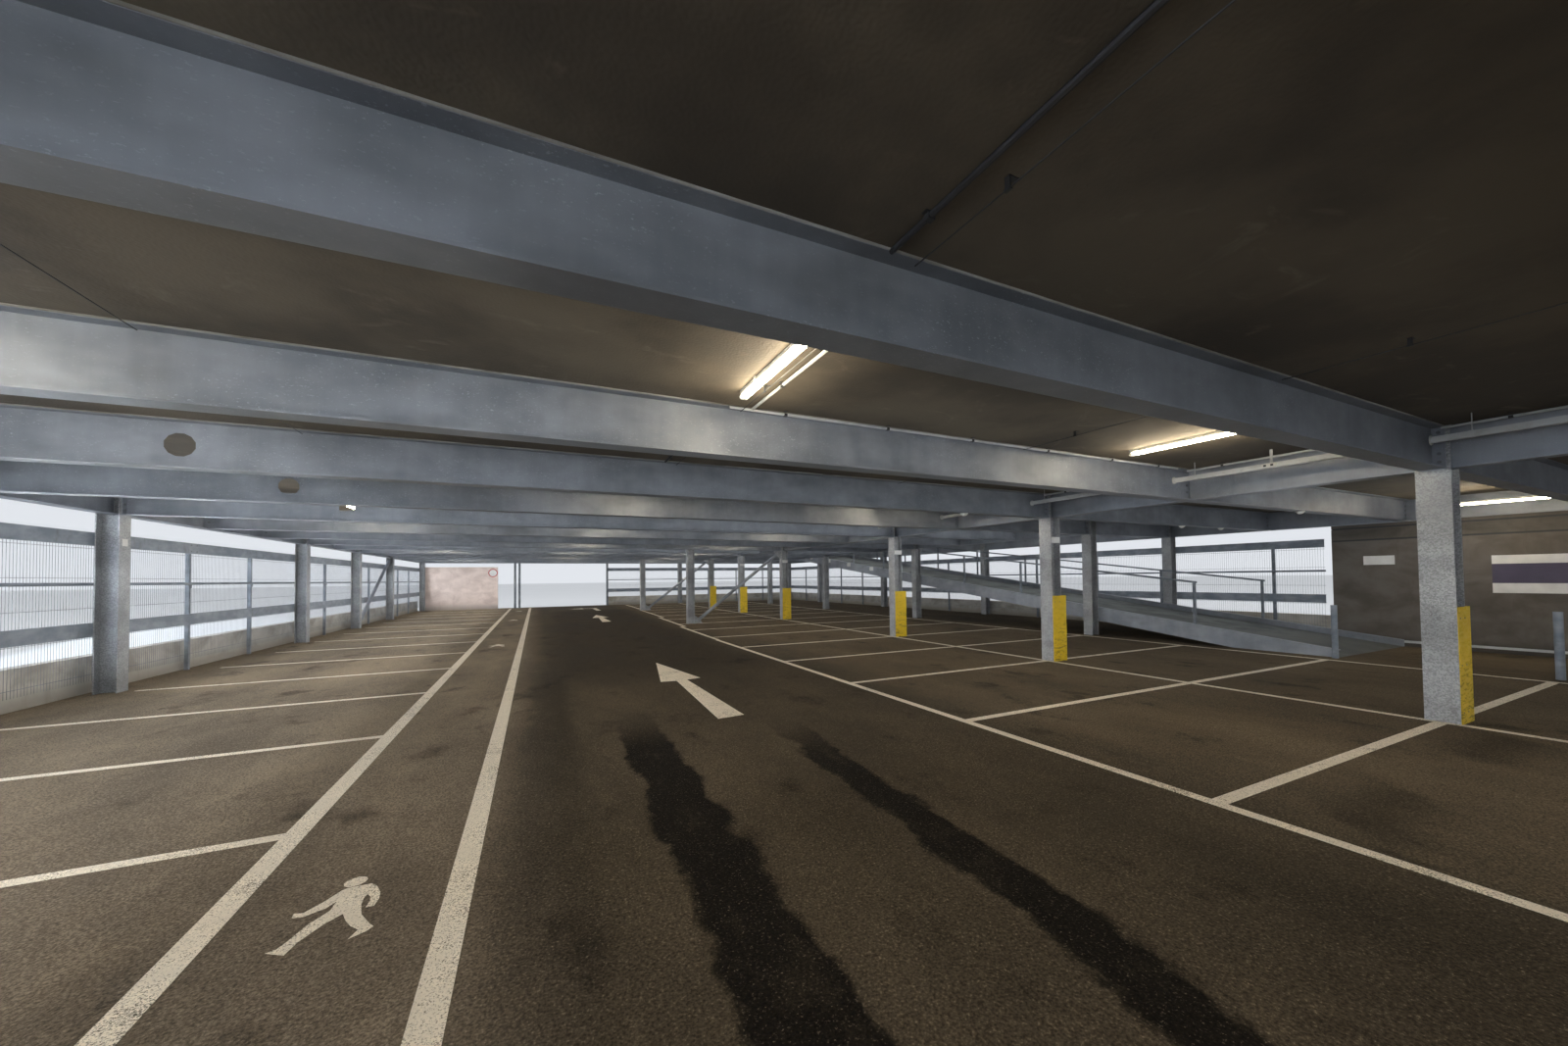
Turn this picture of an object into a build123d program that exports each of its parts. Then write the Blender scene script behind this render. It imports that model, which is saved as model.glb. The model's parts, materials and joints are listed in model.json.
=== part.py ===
from build123d import *

import os
from itertools import accumulate

# Steel-framed multi storey car park: a covered ground storey, a covered first floor
# and an open top deck. Millimetres, Z up. The origin is at the middle of the
# footprint, on the ground. Y runs along the aisle, X across it.

# Grid: cross frames stand one parking bay apart, and spans count in bays
bay = 2400.0
aisle_span = 14840.0
ramp_side_span = 8400.0
ramp_line = 4700.0
aisle_post_line = 3820.0
left_spans = (2, 2, 2, 3, 2, 2, 3)
right_spans = (2, 3, 3, 3, 3, 2)
ramp_foot_bays = 3
storeys = 2

# Heights
ground_slab_thickness = 150.0
headroom = 2730.0
deck_thickness = 200.0

# Rolled beams, columns and ramp channels
beam_depth = 457.0
beam_width = 191.0
beam_web = 9.0
beam_flange = 14.5
column_depth = 254.0
column_width = 254.0
column_web = 10.0
column_flange = 14.2
service_hole_diameter = 220.0
service_hole_line = 2850.0

# Connections
end_plate_thickness = 15.0
end_plate_overhang = 12.0
cope_gap = 12.0
cope_depth = 28.0
cap_plate_thickness = 15.0
cap_plate_side = 300.0

# Deck units and edges
deck_edge = 400.0
unit_joint = 20.0
column_clearance = 15.0
upstand_width = 150.0
upstand_height = 150.0

# Ramp between storeys
ramp_slab_thickness = 200.0
ramp_rib_depth = 80.0
ramp_rib_pitch = 300.0
ramp_rib_width = 140.0
ramp_kerb_rise = 150.0
ramp_channel_flange = 16.0
ramp_channel_web = 12.0
ramp_channel_width = 100.0
ramp_side_gap = 5.0

# Diagonal tubes
brace_diameter = 114.0
brace_wall = 8.0
gusset_thickness = 12.0
gusset_side = 320.0

# Open sides
dwarf_wall_offset = 300.0
dwarf_wall_thickness = 200.0
dwarf_wall_height = 560.0
rail_thickness = 50.0
rail_wall = 6.0
barrier_bottom = 870.0
barrier_height = 210.0
band_bottom = 2240.0
band_height = 200.0
slim_post_side = 60.0
handrail_height = 1660.0
parapet_height = 1150.0
handrail_diameter = 48.0
well_guard_height = 1100.0
well_rail_side = 50.0
balustrade_rise = 950.0
balustrade_post = 50.0
balustrade_rail = 45.0
parapet_cap = 50.0
end_side_joint = 5.0

# Ground storey walls
screen_length = 8330.0
screen_thickness = 120.0
screen_panel_height = 2350.0
screen_board_height = 280.0
screen_board_gap = 8.0
screen_kerb_width = 120.0
screen_kerb_height = 130.0
end_wall_thickness = 150.0
end_wall_length = 3650.0
end_wall_height = 2500.0
entrance_width = 5100.0
entrance_start = 5005.0
entrance_post_side = 120.0

# Fittings
guard_height = 1240.0
guard_thickness = 8.0
guard_flange = 120.0
lamp_length = 1500.0
lamp_width = 100.0
lamp_body_height = 45.0
lamp_tube_width = 60.0
lamp_tube_height = 40.0
lamp_rows = (2600.0, 7450.0, 12650.0)
lamp_first_bays = (2, 0, 0)
lamp_bay_steps = (4, 2, 2)
trunking_side = 60.0
trunking_line = 620.0
trunking_drop = 180.0
hanger_width = 30.0
hanger_thickness = 6.0
dome_diameter = 130.0
dome_height = 50.0
dome_taper = 30.0
notice_thickness = 4.0
notice_width = 1200.0
notice_height = 740.0
notice_bottom = 1180.0
notice_middle = 5440.0
small_notice_width = 480.0
small_notice_height = 200.0
small_notice_bottom = 1780.0
small_notice_inset = 520.0
bollard_diameter = 90.0
bollard_height = 1000.0
round_sides = 12

# Places worked out from the grid
storey_height = headroom + beam_depth + deck_thickness
left_frames = [0, *accumulate(left_spans)]
right_frames = [0, *accumulate(right_spans)]
ramp_frames = right_frames[2:-1]
aisle_post_frames = [left_frames[4], left_frames[6]]
last_frame = left_frames[-1]
x_left = -(aisle_span + ramp_side_span) / 2
x_spine = x_left + aisle_span
x_right = x_spine + ramp_side_span
x_ramp = x_spine + ramp_line
x_post = x_spine - aisle_post_line
column_face = column_depth / 2


def frame_y(frame):
    """Place of a cross frame along the aisle."""
    return (frame - last_frame / 2) * bay


def floor_z(level):
    """Top of the floor of a level; level 0 is the ground storey."""
    return ground_slab_thickness + level * storey_height


def beam_z(level):
    """Underside of the beams that carry a level's deck."""
    return floor_z(level - 1) + headroom


y_near = frame_y(0)
y_far = frame_y(last_frame)
ramp_foot_y = frame_y(ramp_foot_bays)
ramp_top_y = frame_y(ramp_frames[-1]) - beam_width / 2 - unit_joint
decks = range(1, storeys + 1)
covered = range(storeys)


def block(x0, x1, y0, y1, z0, z1):
    """Box between two corners."""
    size = (x1 - x0, y1 - y0, z1 - z0)
    return Pos((x0 + x1) / 2, (y0 + y1) / 2, (z0 + z1) / 2) * Box(*size)


def i_profile(depth, width, web, flange):
    """Rolled section, its depth along the sketch's Y."""
    pocket = Rectangle((width - web) / 2, depth - 2 * flange)
    offset = (width + web) / 4
    return Rectangle(width, depth) - Pos(offset, 0) * pocket - Pos(-offset, 0) * pocket


beam_profile = i_profile(beam_depth, beam_width, beam_web, beam_flange)
column_profile = i_profile(column_depth, column_width, column_web, column_flange)


def round_section(diameter):
    """Even-sided outline that stands for a round one, with flats above, below and at both sides."""
    turn = 180 / round_sides
    return RegularPolygon(diameter / 2, round_sides, major_radius=False, rotation=turn)


def round_bar(middle, axis, diameter, length):
    """Straight bar of round section, given by its middle and its direction."""
    across = Vector(0, 0, 1) if abs(axis.Z) < 0.5 else Vector(1, 0, 0)
    plane = Plane(middle - axis * (length / 2), x_dir=across, z_dir=axis)
    return extrude(plane * round_section(diameter), length)


def beam_along_x(x0, x1, y, level):
    """Cross beam under a deck."""
    place = Plane((x0, y, beam_z(level) + beam_depth / 2), x_dir=(0, 1, 0), z_dir=(1, 0, 0))
    return extrude(place * beam_profile, x1 - x0)


def beam_along_y(x, y0, y1, level):
    """Beam between two columns of one line."""
    place = Plane((x, y0, beam_z(level) + beam_depth / 2), x_dir=(-1, 0, 0), z_dir=(0, 1, 0))
    return extrude(place * beam_profile, y1 - y0)


def column(x, y, z0, z1):
    """H-section column whose flanges face across the aisle."""
    place = Plane((x, y, z0), x_dir=(0, 1, 0), z_dir=(0, 0, 1))
    return extrude(place * column_profile, z1 - z0)


def end_plate_on_flange(x, frame, side, level):
    """Plate between a column's flange and the end of a cross beam."""
    x0, x1 = sorted((x + side * column_face, x + side * (column_face + end_plate_thickness)))
    half = beam_width / 2
    low = beam_z(level) - end_plate_overhang
    y = frame_y(frame)
    return block(x0, x1, y - half, y + half, low, beam_z(level) + beam_depth)


def cope(x, y, inward, level):
    """What is cut from a beam's flanges where it enters a beam along Y."""
    reach = (beam_width - beam_web) / 2 + cope_gap
    x0, x1 = sorted((x, x + inward * reach))
    half = beam_width / 2 + 1
    low = beam_z(level)
    top = low + beam_depth
    bottom_cut = block(x0, x1, y - half, y + half, low - 1, low + cope_depth)
    return bottom_cut + block(x0, x1, y - half, y + half, top - cope_depth, top + 1)


def cross_beam(x0, x1, frame, level, column0, column1):
    """Cross beam with end plates at columns, coped where it enters a beam between them."""
    y = frame_y(frame)
    seat = column_face + end_plate_thickness
    start = x0 + (seat if column0 else beam_web / 2)
    end = x1 - (seat if column1 else beam_web / 2)
    beam = beam_along_x(start, end, y, level)
    for x, tip, inward, on_column in ((x0, start, 1, column0), (x1, end, -1, column1)):
        if on_column:
            beam += end_plate_on_flange(x, frame, inward, level)
        else:
            beam -= cope(tip, y, inward, level)
    return beam


def service_hole(frame, level):
    """Hole for services through the web of an aisle beam."""
    place = Vector(x_left + service_hole_line, frame_y(frame), beam_z(level) + beam_depth / 2)
    return round_bar(place, Vector(0, 1, 0), service_hole_diameter, beam_width)


def line_beams(x, frames):
    """Beams between the webs of one line's columns, on every deck."""
    face = column_web / 2
    return [
        beam_along_y(x, frame_y(a) + face, frame_y(b) - face, level)
        for level in decks
        for a, b in zip(frames, frames[1:])
    ]


def line_columns(x, frames):
    """Columns of one line, from the ground floor to the top deck."""
    top = beam_z(storeys) + beam_depth
    return [column(x, frame_y(f), floor_z(0), top) for f in frames]


def aisle_beams(level):
    """Cross beams over the aisle and its two rows of bays."""
    beams = []
    for frame in range(last_frame + 1):
        on_column = frame in left_frames
        beam = cross_beam(x_left, x_spine, frame, level, on_column, on_column)
        beams.append(beam - service_hole(frame, level))
    return beams


def ramp_side_beams(level):
    """Cross beams beyond the spine, trimmed round the ramp opening."""
    beams = []
    first, last = ramp_frames[0], ramp_frames[-1]
    for frame in range(last_frame + 1):
        at_spine = frame in left_frames
        if first <= frame <= last:
            beams.append(cross_beam(x_spine, x_ramp, frame, level, at_spine, frame in ramp_frames))
        else:
            beams.append(cross_beam(x_spine, x_right, frame, level, at_spine, frame in right_frames))
    for frame in (first, last):
        beams.append(cross_beam(x_ramp, x_right, frame, level, True, True))
    return beams


def column_cutter(x, frame, level):
    """Room for a column through a deck unit."""
    dx = column_depth / 2 + column_clearance
    dy = column_width / 2 + column_clearance
    low = floor_z(level) - deck_thickness
    y = frame_y(frame)
    return block(x - dx, x + dx, y - dy, y + dy, low - 1, floor_z(level) + 1)


def cut_columns(unit, level, frames_by_line, module):
    """Notch a deck unit round the columns that rise through it."""
    if level == storeys:
        return unit
    for x, frames in frames_by_line:
        for frame in (module, module + 1):
            if frame in frames:
                unit -= column_cutter(x, frame, level)
    return unit


def unit_ends(module):
    """Ends of a deck unit along the aisle, over the beams that carry it."""
    y0 = frame_y(module) + unit_joint / 2
    y1 = frame_y(module + 1) - unit_joint / 2
    if module == 0:
        y0 = y_near - deck_edge
    if module == last_frame - 1:
        y1 = y_far + deck_edge
    return y0, y1


def aisle_unit(module, level):
    """Deck unit over the aisle span."""
    y0, y1 = unit_ends(module)
    z1 = floor_z(level)
    z0 = z1 - deck_thickness
    unit = block(x_left - deck_edge, x_spine - unit_joint / 2, y0, y1, z0, z1)
    return cut_columns(unit, level, [(x_left, left_frames), (x_spine, left_frames)], module)


def ramp_side_unit(module, level):
    """Deck unit beyond the spine, stopped short of the ramp opening."""
    y0, y1 = unit_ends(module)
    z1 = floor_z(level)
    z0 = z1 - deck_thickness
    first, last = ramp_frames[0], ramp_frames[-1]
    trim = x_ramp + beam_width / 2
    beside_ramp = first <= module < last
    end = trim if beside_ramp else x_right + deck_edge
    unit = block(x_spine + unit_joint / 2, end, y0, y1, z0, z1)
    if module + 1 == first:
        unit += block(trim + unit_joint, end, y1, frame_y(first) + beam_width / 2, z0, z1)
    if module == last:
        unit += block(trim + unit_joint, end, frame_y(last) - beam_width / 2, y0, z0, z1)
    lines = [(x_spine, left_frames), (x_ramp, ramp_frames), (x_right, right_frames)]
    return cut_columns(unit, level, lines, module)


def deck_units(level):
    """All units of one deck."""
    modules = range(last_frame)
    return [aisle_unit(m, level) for m in modules] + [ramp_side_unit(m, level) for m in modules]


def ramp_prism(level, low, high, x0, x1):
    """Sloping block from a storey's floor to the next, between two offsets from the surface."""
    foot = floor_z(level)
    corners = [
        (ramp_foot_y, foot + low),
        (ramp_top_y, foot + storey_height + low),
        (ramp_top_y, foot + storey_height + high),
        (ramp_foot_y, foot + high),
    ]
    side = Plane((x0, 0, 0), x_dir=(0, 1, 0), z_dir=(1, 0, 0)) * make_face(Polyline(*corners, close=True))
    return extrude(side, x1 - x0)


def above_floor(solid, level):
    """Cut away what would reach under the floor at the ramp's foot."""
    low = floor_z(level)
    y0 = ramp_foot_y - bay
    cutter = block(x_ramp, x_right, y0, ramp_top_y, low - storey_height, low)
    return solid - cutter


screen_x1 = x_right - column_face
screen_x0 = screen_x1 - screen_thickness
ramp_x0 = x_ramp + column_face
ramp_x1 = screen_x0 - screen_kerb_width - ramp_side_gap


def ramp_slab(level):
    """Ramp slab with grooves between its ribs underneath."""
    x0 = ramp_x0 + ramp_channel_web + ramp_side_gap
    x1 = ramp_x1 - ramp_channel_web - ramp_side_gap
    slab = ramp_prism(level, -ramp_slab_thickness, 0, x0, x1)
    groove_width = ramp_rib_pitch - ramp_rib_width
    inner = ramp_channel_width + ramp_rib_width / 2
    count = int((x1 - x0 - 2 * inner) // ramp_rib_pitch)
    start = (x0 + x1) / 2 - (count - 1) * ramp_rib_pitch / 2
    for i in range(count):
        middle = start + i * ramp_rib_pitch
        sides = (middle - groove_width / 2, middle + groove_width / 2)
        slab -= ramp_prism(level, -ramp_slab_thickness - 10, ramp_rib_depth - ramp_slab_thickness, *sides)
    return above_floor(slab, level)


def ramp_channel(level, inward):
    """Edge channel of the ramp, its web outwards."""
    face = ramp_x0 if inward > 0 else ramp_x1
    low = -ramp_slab_thickness - ramp_channel_flange
    outer = sorted((face, face + inward * ramp_channel_width))
    hollow = sorted((face + inward * ramp_channel_web, face + inward * (ramp_channel_width + 1)))
    channel = ramp_prism(level, low, ramp_kerb_rise, *outer)
    channel -= ramp_prism(level, -ramp_slab_thickness, ramp_kerb_rise - ramp_channel_flange, *hollow)
    return above_floor(channel, level)


def tube_between(start, end, diameter, wall):
    """Straight tube with square ends."""
    start, end = Vector(*start), Vector(*end)
    axis = end - start
    ring = round_section(diameter) - round_section(diameter - 2 * wall)
    return extrude(Plane(start, z_dir=axis) * ring, axis.length)


def aisle_posts():
    """Posts with cap plates that prop two frames of every storey at the aisle's edge."""
    posts = []
    half = cap_plate_side / 2
    for level in covered:
        top = beam_z(level + 1)
        seat = top - cap_plate_thickness
        for frame in aisle_post_frames:
            y = frame_y(frame)
            cap = block(x_post - half, x_post + half, y - half, y + half, seat, top)
            posts.append(column(x_post, y, floor_z(level), seat) + cap)
    return posts


def brace_ends(run, rise):
    """Ends of a diagonal's axis, measured from the corner at its foot, and its direction."""
    direction = Vector(run, rise).normalized()
    reach = gusset_side * 0.8
    return direction * reach, Vector(run, rise) - direction * reach, direction


def gusset(plane, run, rise, nose, turned):
    """Plate in a corner whose nose is square to the diagonal that it carries."""
    direction = Vector(run, rise).normalized()
    across = Vector(-direction.Y, direction.X) * (brace_diameter / 2)
    sign = -1 if turned else 1
    corners = [Vector(0, 0), Vector(gusset_side, 0), nose - across, nose + across, Vector(0, gusset_side)]
    outline = Polyline(*[(sign * c.X, sign * c.Y) for c in corners], close=True)
    return extrude(plane * make_face(outline), gusset_thickness / 2, both=True)


def brace_set(plane, run, rise):
    """Diagonal tube and its two gussets in one upright plane, from the corner at its foot."""
    foot, head, direction = brace_ends(run, rise)
    place = lambda v: plane.from_local_coords(Vector(v.X, v.Y))
    tube = tube_between(place(foot), place(head), brace_diameter, brace_wall)
    low = gusset(plane, run, rise, foot, False)
    far_corner = Plane(place(Vector(run, rise)), x_dir=plane.x_dir, z_dir=plane.z_dir)
    return tube, [low, gusset(far_corner, run, rise, foot, True)]


def frame_brace(frame, level):
    """Diagonal across a frame, from an aisle post's foot to the spine column's head."""
    foot = (x_post + column_face, frame_y(frame), floor_z(level))
    plane = Plane(foot, x_dir=(1, 0, 0), z_dir=(0, -1, 0))
    rise = headroom - end_plate_overhang
    return brace_set(plane, x_spine - column_face - foot[0], rise)


def side_brace(level):
    """Diagonal in the left side, between the webs of two columns."""
    a, b = left_frames[5:7]
    foot = (x_left, frame_y(a) + column_web / 2, floor_z(level))
    plane = Plane(foot, x_dir=(0, 1, 0), z_dir=(1, 0, 0))
    return brace_set(plane, frame_y(b) - column_web / 2 - foot[1], headroom - end_plate_overhang)


def brace_sets():
    """All diagonals with their gussets."""
    sets = [frame_brace(f, level) for level in covered for f in aisle_post_frames]
    return sets + [side_brace(level) for level in covered]


# Open sides: places along a side, and outwards from the outer face of its columns
side_face = {"left": x_left - column_face, "right": x_right + column_face,
             "near": y_near - column_width / 2, "far": y_far + column_width / 2}
outward = {"left": -1, "right": 1, "near": -1, "far": 1}
lane_start = x_ramp
aisle_entrance = x_left + entrance_start
screen_end = y_near + screen_length


def side_block(side, a0, a1, out0, out1, z0, z1):
    """Box placed along one side of the building and outwards from its columns."""
    face, way = side_face[side], outward[side]
    b0, b1 = sorted((face + way * out0, face + way * out1))
    if side in ("left", "right"):
        return block(b0, b1, a0, a1, z0, z1)
    return block(a0, a1, b0, b1, z0, z1)


def side_bar(side, a0, a1, out, z, diameter):
    """Level round bar along one side."""
    b = side_face[side] + outward[side] * out
    middle = (a0 + a1) / 2
    if side in ("left", "right"):
        return round_bar(Vector(b, middle, z), Vector(0, 1, 0), diameter, a1 - a0)
    return round_bar(Vector(middle, b, z), Vector(1, 0, 0), diameter, a1 - a0)


def side_reach(side, beyond):
    """Ends of a run round the building; the end sides stop between the long ones."""
    if side in ("left", "right"):
        return side_face["near"] - beyond, side_face["far"] + beyond
    return side_face["left"] + end_side_joint, side_face["right"] - end_side_joint


def open_runs(side, level, beyond):
    """Stretches of a side that are closed by rails on a level."""
    a0, a1 = side_reach(side, beyond)
    if level > 0 or side == "left":
        return [(a0, a1)]
    if side == "right":
        return [(screen_end + column_width, a1)]
    if side == "near":
        return [(a0, lane_start)]
    return [(aisle_entrance + entrance_width, a1)]


def side_stations(side):
    """Places of the slim posts between a side's columns."""
    if side in ("left", "right"):
        frames = left_frames if side == "left" else right_frames
        return [frame_y(f) for f in range(last_frame + 1) if f not in frames]
    aisle = [x_left + aisle_span * i / 6 for i in range(1, 6)]
    return aisle + [x_spine + ramp_side_span * i / 4 for i in range(1, 4)]


def column_stations(side):
    """Places of a side's columns."""
    if side in ("left", "right"):
        return [frame_y(f) for f in (left_frames if side == "left" else right_frames)]
    return [x_left, x_spine, x_right]


def in_run(place, run):
    """Whether a post or bracket at this place stands in a railed stretch."""
    return run[0] + slim_post_side <= place <= run[1] - slim_post_side


sides = ("left", "right", "near", "far")


def channel_rail(side, a0, a1, z0, height):
    """Flat rail with its web towards the cars and its lips outwards."""
    rail = side_block(side, a0, a1, 0, rail_thickness, z0, z0 + height)
    inside = side_block(side, a0, a1, rail_wall, rail_thickness, z0 + rail_wall, z0 + height - rail_wall)
    return rail - inside


def side_rails(bottom, height):
    """Rails at one height on all open sides of the covered storeys."""
    rails = []
    for level in covered:
        for side in sides:
            for a0, a1 in open_runs(side, level, rail_thickness):
                rails.append(channel_rail(side, a0, a1, floor_z(level) + bottom, height))
    return rails


def slim_post(side, place, z0, z1):
    """Square post behind the rails of a side."""
    half = slim_post_side / 2
    return side_block(side, place - half, place + half, rail_thickness, rail_thickness + slim_post_side, z0, z1)


def slim_posts():
    """Slim posts behind the rails, from the floor to the top of the band."""
    posts = []
    for level in covered:
        z0 = floor_z(level)
        z1 = z0 + band_bottom + band_height
        for side in sides:
            for run in open_runs(side, level, 0):
                places = [p for p in side_stations(side) if in_run(p, run)]
                posts += [slim_post(side, p, z0, z1) for p in places]
    return posts


def handrails():
    """Round handrails of the covered storeys, on the inner faces of the slim posts."""
    out = rail_thickness - handrail_diameter / 2
    return [
        side_bar(side, a0, a1, out, floor_z(level) + handrail_height, handrail_diameter)
        for level in covered
        for side in sides
        for a0, a1 in open_runs(side, level, out)
    ]


def upstands(level):
    """Concrete upstands round the edge of a deck."""
    x0, x1 = x_left - deck_edge, x_right + deck_edge
    y0, y1 = y_near - deck_edge, y_far + deck_edge
    z0, z1 = floor_z(level), floor_z(level) + upstand_height
    inner = upstand_width + end_side_joint
    return [
        block(x0, x0 + upstand_width, y0, y1, z0, z1),
        block(x1 - upstand_width, x1, y0, y1, z0, z1),
        block(x0 + inner, x1 - inner, y0, y0 + upstand_width, z0, z1),
        block(x0 + inner, x1 - inner, y1 - upstand_width, y1, z0, z1),
    ]


def dwarf_walls():
    """Low concrete walls on the ground floor's open sides."""
    z0 = floor_z(0)
    z1 = z0 + dwarf_wall_height
    walls = []
    outer = {"left": x_left, "right": x_right}
    for side, x in outer.items():
        way = outward[side]
        x0, x1 = sorted((x + way * dwarf_wall_offset, x + way * ground_edge))
        start = y_near - ground_edge if side == "left" else screen_end + column_width
        walls.append(block(x0, x1, start, y_far + ground_edge, z0, z1))
    x0 = x_left - dwarf_wall_offset + end_side_joint
    x1 = x_right + dwarf_wall_offset - end_side_joint
    walls.append(block(x0, lane_start, y_near - ground_edge, y_near - dwarf_wall_offset, z0, z1))
    start = aisle_entrance + entrance_width
    walls.append(block(start, x1, y_far + dwarf_wall_offset, y_far + ground_edge, z0, z1))
    return walls


ground_edge = dwarf_wall_offset + dwarf_wall_thickness


def ground_slab():
    """Ground floor slab inside the outer faces of the dwarf walls."""
    x0, x1 = x_left - ground_edge, x_right + ground_edge
    return [block(x0, x1, y_near - ground_edge, y_far + ground_edge, 0, ground_slab_thickness)]


# Top deck parapet and the guards round the ramp opening
def parapet_frames():
    """Posts round the top deck under a flat cap rail, one frame for each side."""
    frames = []
    z1 = floor_z(storeys) + parapet_height
    z0 = z1 - parapet_cap
    out1 = rail_thickness + slim_post_side
    for side in sides:
        a0, a1 = side_reach(side, out1)
        cap = side_block(side, a0, a1, rail_thickness, out1, z0, z1)
        places = side_stations(side) + column_stations(side)
        frames.append(cap.fuse(*[slim_post(side, p, floor_z(storeys), z0) for p in places]))
    return frames


def parapet_rails():
    """Flat rails on the inner faces of the parapet posts."""
    z0 = floor_z(storeys) + parapet_height / 2 - barrier_height / 2
    rails = []
    for side in sides:
        a0, a1 = side_reach(side, rail_thickness)
        rails.append(channel_rail(side, a0, a1, z0, barrier_height))
    return rails


well_y0 = frame_y(ramp_frames[0]) + column_width / 2
well_y1 = frame_y(ramp_frames[-1]) - column_width / 2
well_x0 = x_ramp + beam_width / 2 - slim_post_side

def well_guard(level, y0, y1, places):
    """Posts and top rail of the guard along one stretch of the ramp opening."""
    x1 = well_x0 + slim_post_side
    z0 = floor_z(level)
    z1 = z0 + well_guard_height
    half = slim_post_side / 2
    rail = block(well_x0, x1, y0, y1, z1 - well_rail_side, z1)
    return rail.fuse(*[block(well_x0, x1, y - half, y + half, z0, z1) for y in places])


def head_guard():
    """Guard on the top deck where the ramp opening starts."""
    y1 = frame_y(ramp_frames[0]) + beam_width / 2
    y0 = y1 - slim_post_side
    z0 = floor_z(storeys)
    z1 = z0 + well_guard_height
    x0 = well_x0 + slim_post_side + unit_joint
    x1 = x_right + column_face
    half = slim_post_side / 2
    rail = block(x0, x1, y0, y1, z1 - well_rail_side, z1)
    places = (x0 + half, (x0 + x1) / 2, x1 - half)
    return rail.fuse(*[block(x - half, x + half, y0, y1, z0, z1) for x in places])


def well_guards():
    """Guards between the decks and the ramp opening."""
    clear = column_width / 2
    first, last = ramp_frames[0], ramp_frames[-1]
    guards = []
    for level in decks:
        if level < storeys:
            for a, b in zip(ramp_frames, ramp_frames[1:]):
                places = [frame_y(f) for f in range(a + 1, b)]
                guards.append(well_guard(level, frame_y(a) + clear, frame_y(b) - clear, places))
        else:
            ends = [well_y0 + slim_post_side / 2, well_y1 - slim_post_side / 2]
            places = ends + [frame_y(f) for f in range(first + 1, last)]
            guards.append(well_guard(level, well_y0, well_y1, places))
    return guards + [head_guard()]


def balustrade_lines():
    """Inner and outer x of the balustrade on each ramp channel."""
    inset = (ramp_channel_width - balustrade_post) / 2
    left = ramp_x0 + inset
    right = ramp_x1 - inset - balustrade_post
    return [(left, left + balustrade_post), (right, right + balustrade_post)]


def sloping_post(level, x0, x1, y):
    """Post on a ramp channel, cut to the slope at its foot and its head."""
    strip = ramp_prism(level, ramp_kerb_rise, ramp_kerb_rise + balustrade_rise, x0, x1)
    half = balustrade_post / 2
    window = block(x0, x1, y - half, y + half, floor_z(level), floor_z(level) + 3 * storey_height)
    return strip & window


def ramp_balustrades():
    """Posts on the ramp channels, one on each frame line, with a rail along their heads."""
    low = ramp_kerb_rise + balustrade_rise
    frames = range(ramp_foot_bays + 1, ramp_frames[-1])
    start = frame_y(ramp_foot_bays + 1) - balustrade_post
    balustrades = []
    for level in covered:
        top = floor_z(level) + 3 * storey_height
        for x0, x1 in balustrade_lines():
            rail = ramp_prism(level, low, low + balustrade_rail, x0, x1)
            rail &= block(x0, x1, start, ramp_top_y, floor_z(level), top)
            posts = [sloping_post(level, x0, x1, frame_y(f)) for f in frames]
            balustrades.append(rail.fuse(*posts))
    return balustrades


# Ground storey walls and entrances
screen_y0 = y_near + column_width / 2


def screen_wall():
    """Plain lower part of the wall beside the ramp lane."""
    z0 = floor_z(0)
    return [block(screen_x0, screen_x1, screen_y0, screen_end, z0, z0 + screen_panel_height)]


def screen_boards():
    """Boards over the plain wall, with open joints, up to the beams."""
    z = floor_z(0) + screen_panel_height
    top = beam_z(1) - end_plate_overhang
    boards = []
    while z + screen_board_gap < top - screen_board_height / 4:
        z1 = min(z + screen_board_height, top)
        boards.append(block(screen_x0, screen_x1, screen_y0, screen_end, z, z1 - screen_board_gap))
        z = z1
    return boards


def screen_kerb():
    """Kerb at the foot of the wall beside the ramp lane."""
    z0 = floor_z(0)
    return [block(screen_x0 - screen_kerb_width, screen_x0, screen_y0, screen_end, z0, z0 + screen_kerb_height)]


def end_wall():
    """Rendered wall that closes the left bays at the far end."""
    x0 = x_left + column_face
    y0 = y_far + column_width / 2
    z0 = floor_z(0)
    return [block(x0, x0 + end_wall_length, y0, y0 + end_wall_thickness, z0, z0 + end_wall_height)]


def entrance_posts():
    """Posts beside the way in at the far end, up to the beam."""
    z0, z1 = floor_z(0), beam_z(1)
    side = entrance_post_side
    xs = (aisle_entrance - 3 * side, aisle_entrance - side, aisle_entrance + entrance_width - side)
    return [block(x, x + side, y_far - side / 2, y_far + side / 2, z0, z1) for x in xs]


def bollards():
    """Round posts beside the way to the ramp."""
    z0 = floor_z(0)
    places = [(x_ramp, ramp_foot_y), (x_ramp, frame_y(ramp_foot_bays - 1))]
    post = Cylinder(bollard_diameter / 2, bollard_height)
    return [Pos(x, y, z0 + bollard_height / 2) * post for x, y in places]


# Fittings
def column_guards():
    """Folded guards on the spine columns' sides that face the traffic."""
    guards = []
    for level in covered:
        z0, z1 = floor_z(level), floor_z(level) + guard_height
        x0 = x_spine - column_face + guard_thickness
        x1 = x_spine + column_face + guard_flange
        for frame in left_frames[1:-1]:
            y = frame_y(frame) - column_width / 2
            face = block(x0, x1, y - guard_thickness, y, z0, z1)
            guards.append(face + block(x1 - guard_thickness, x1, y, y + guard_flange, z0, z1))
    return guards


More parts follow.
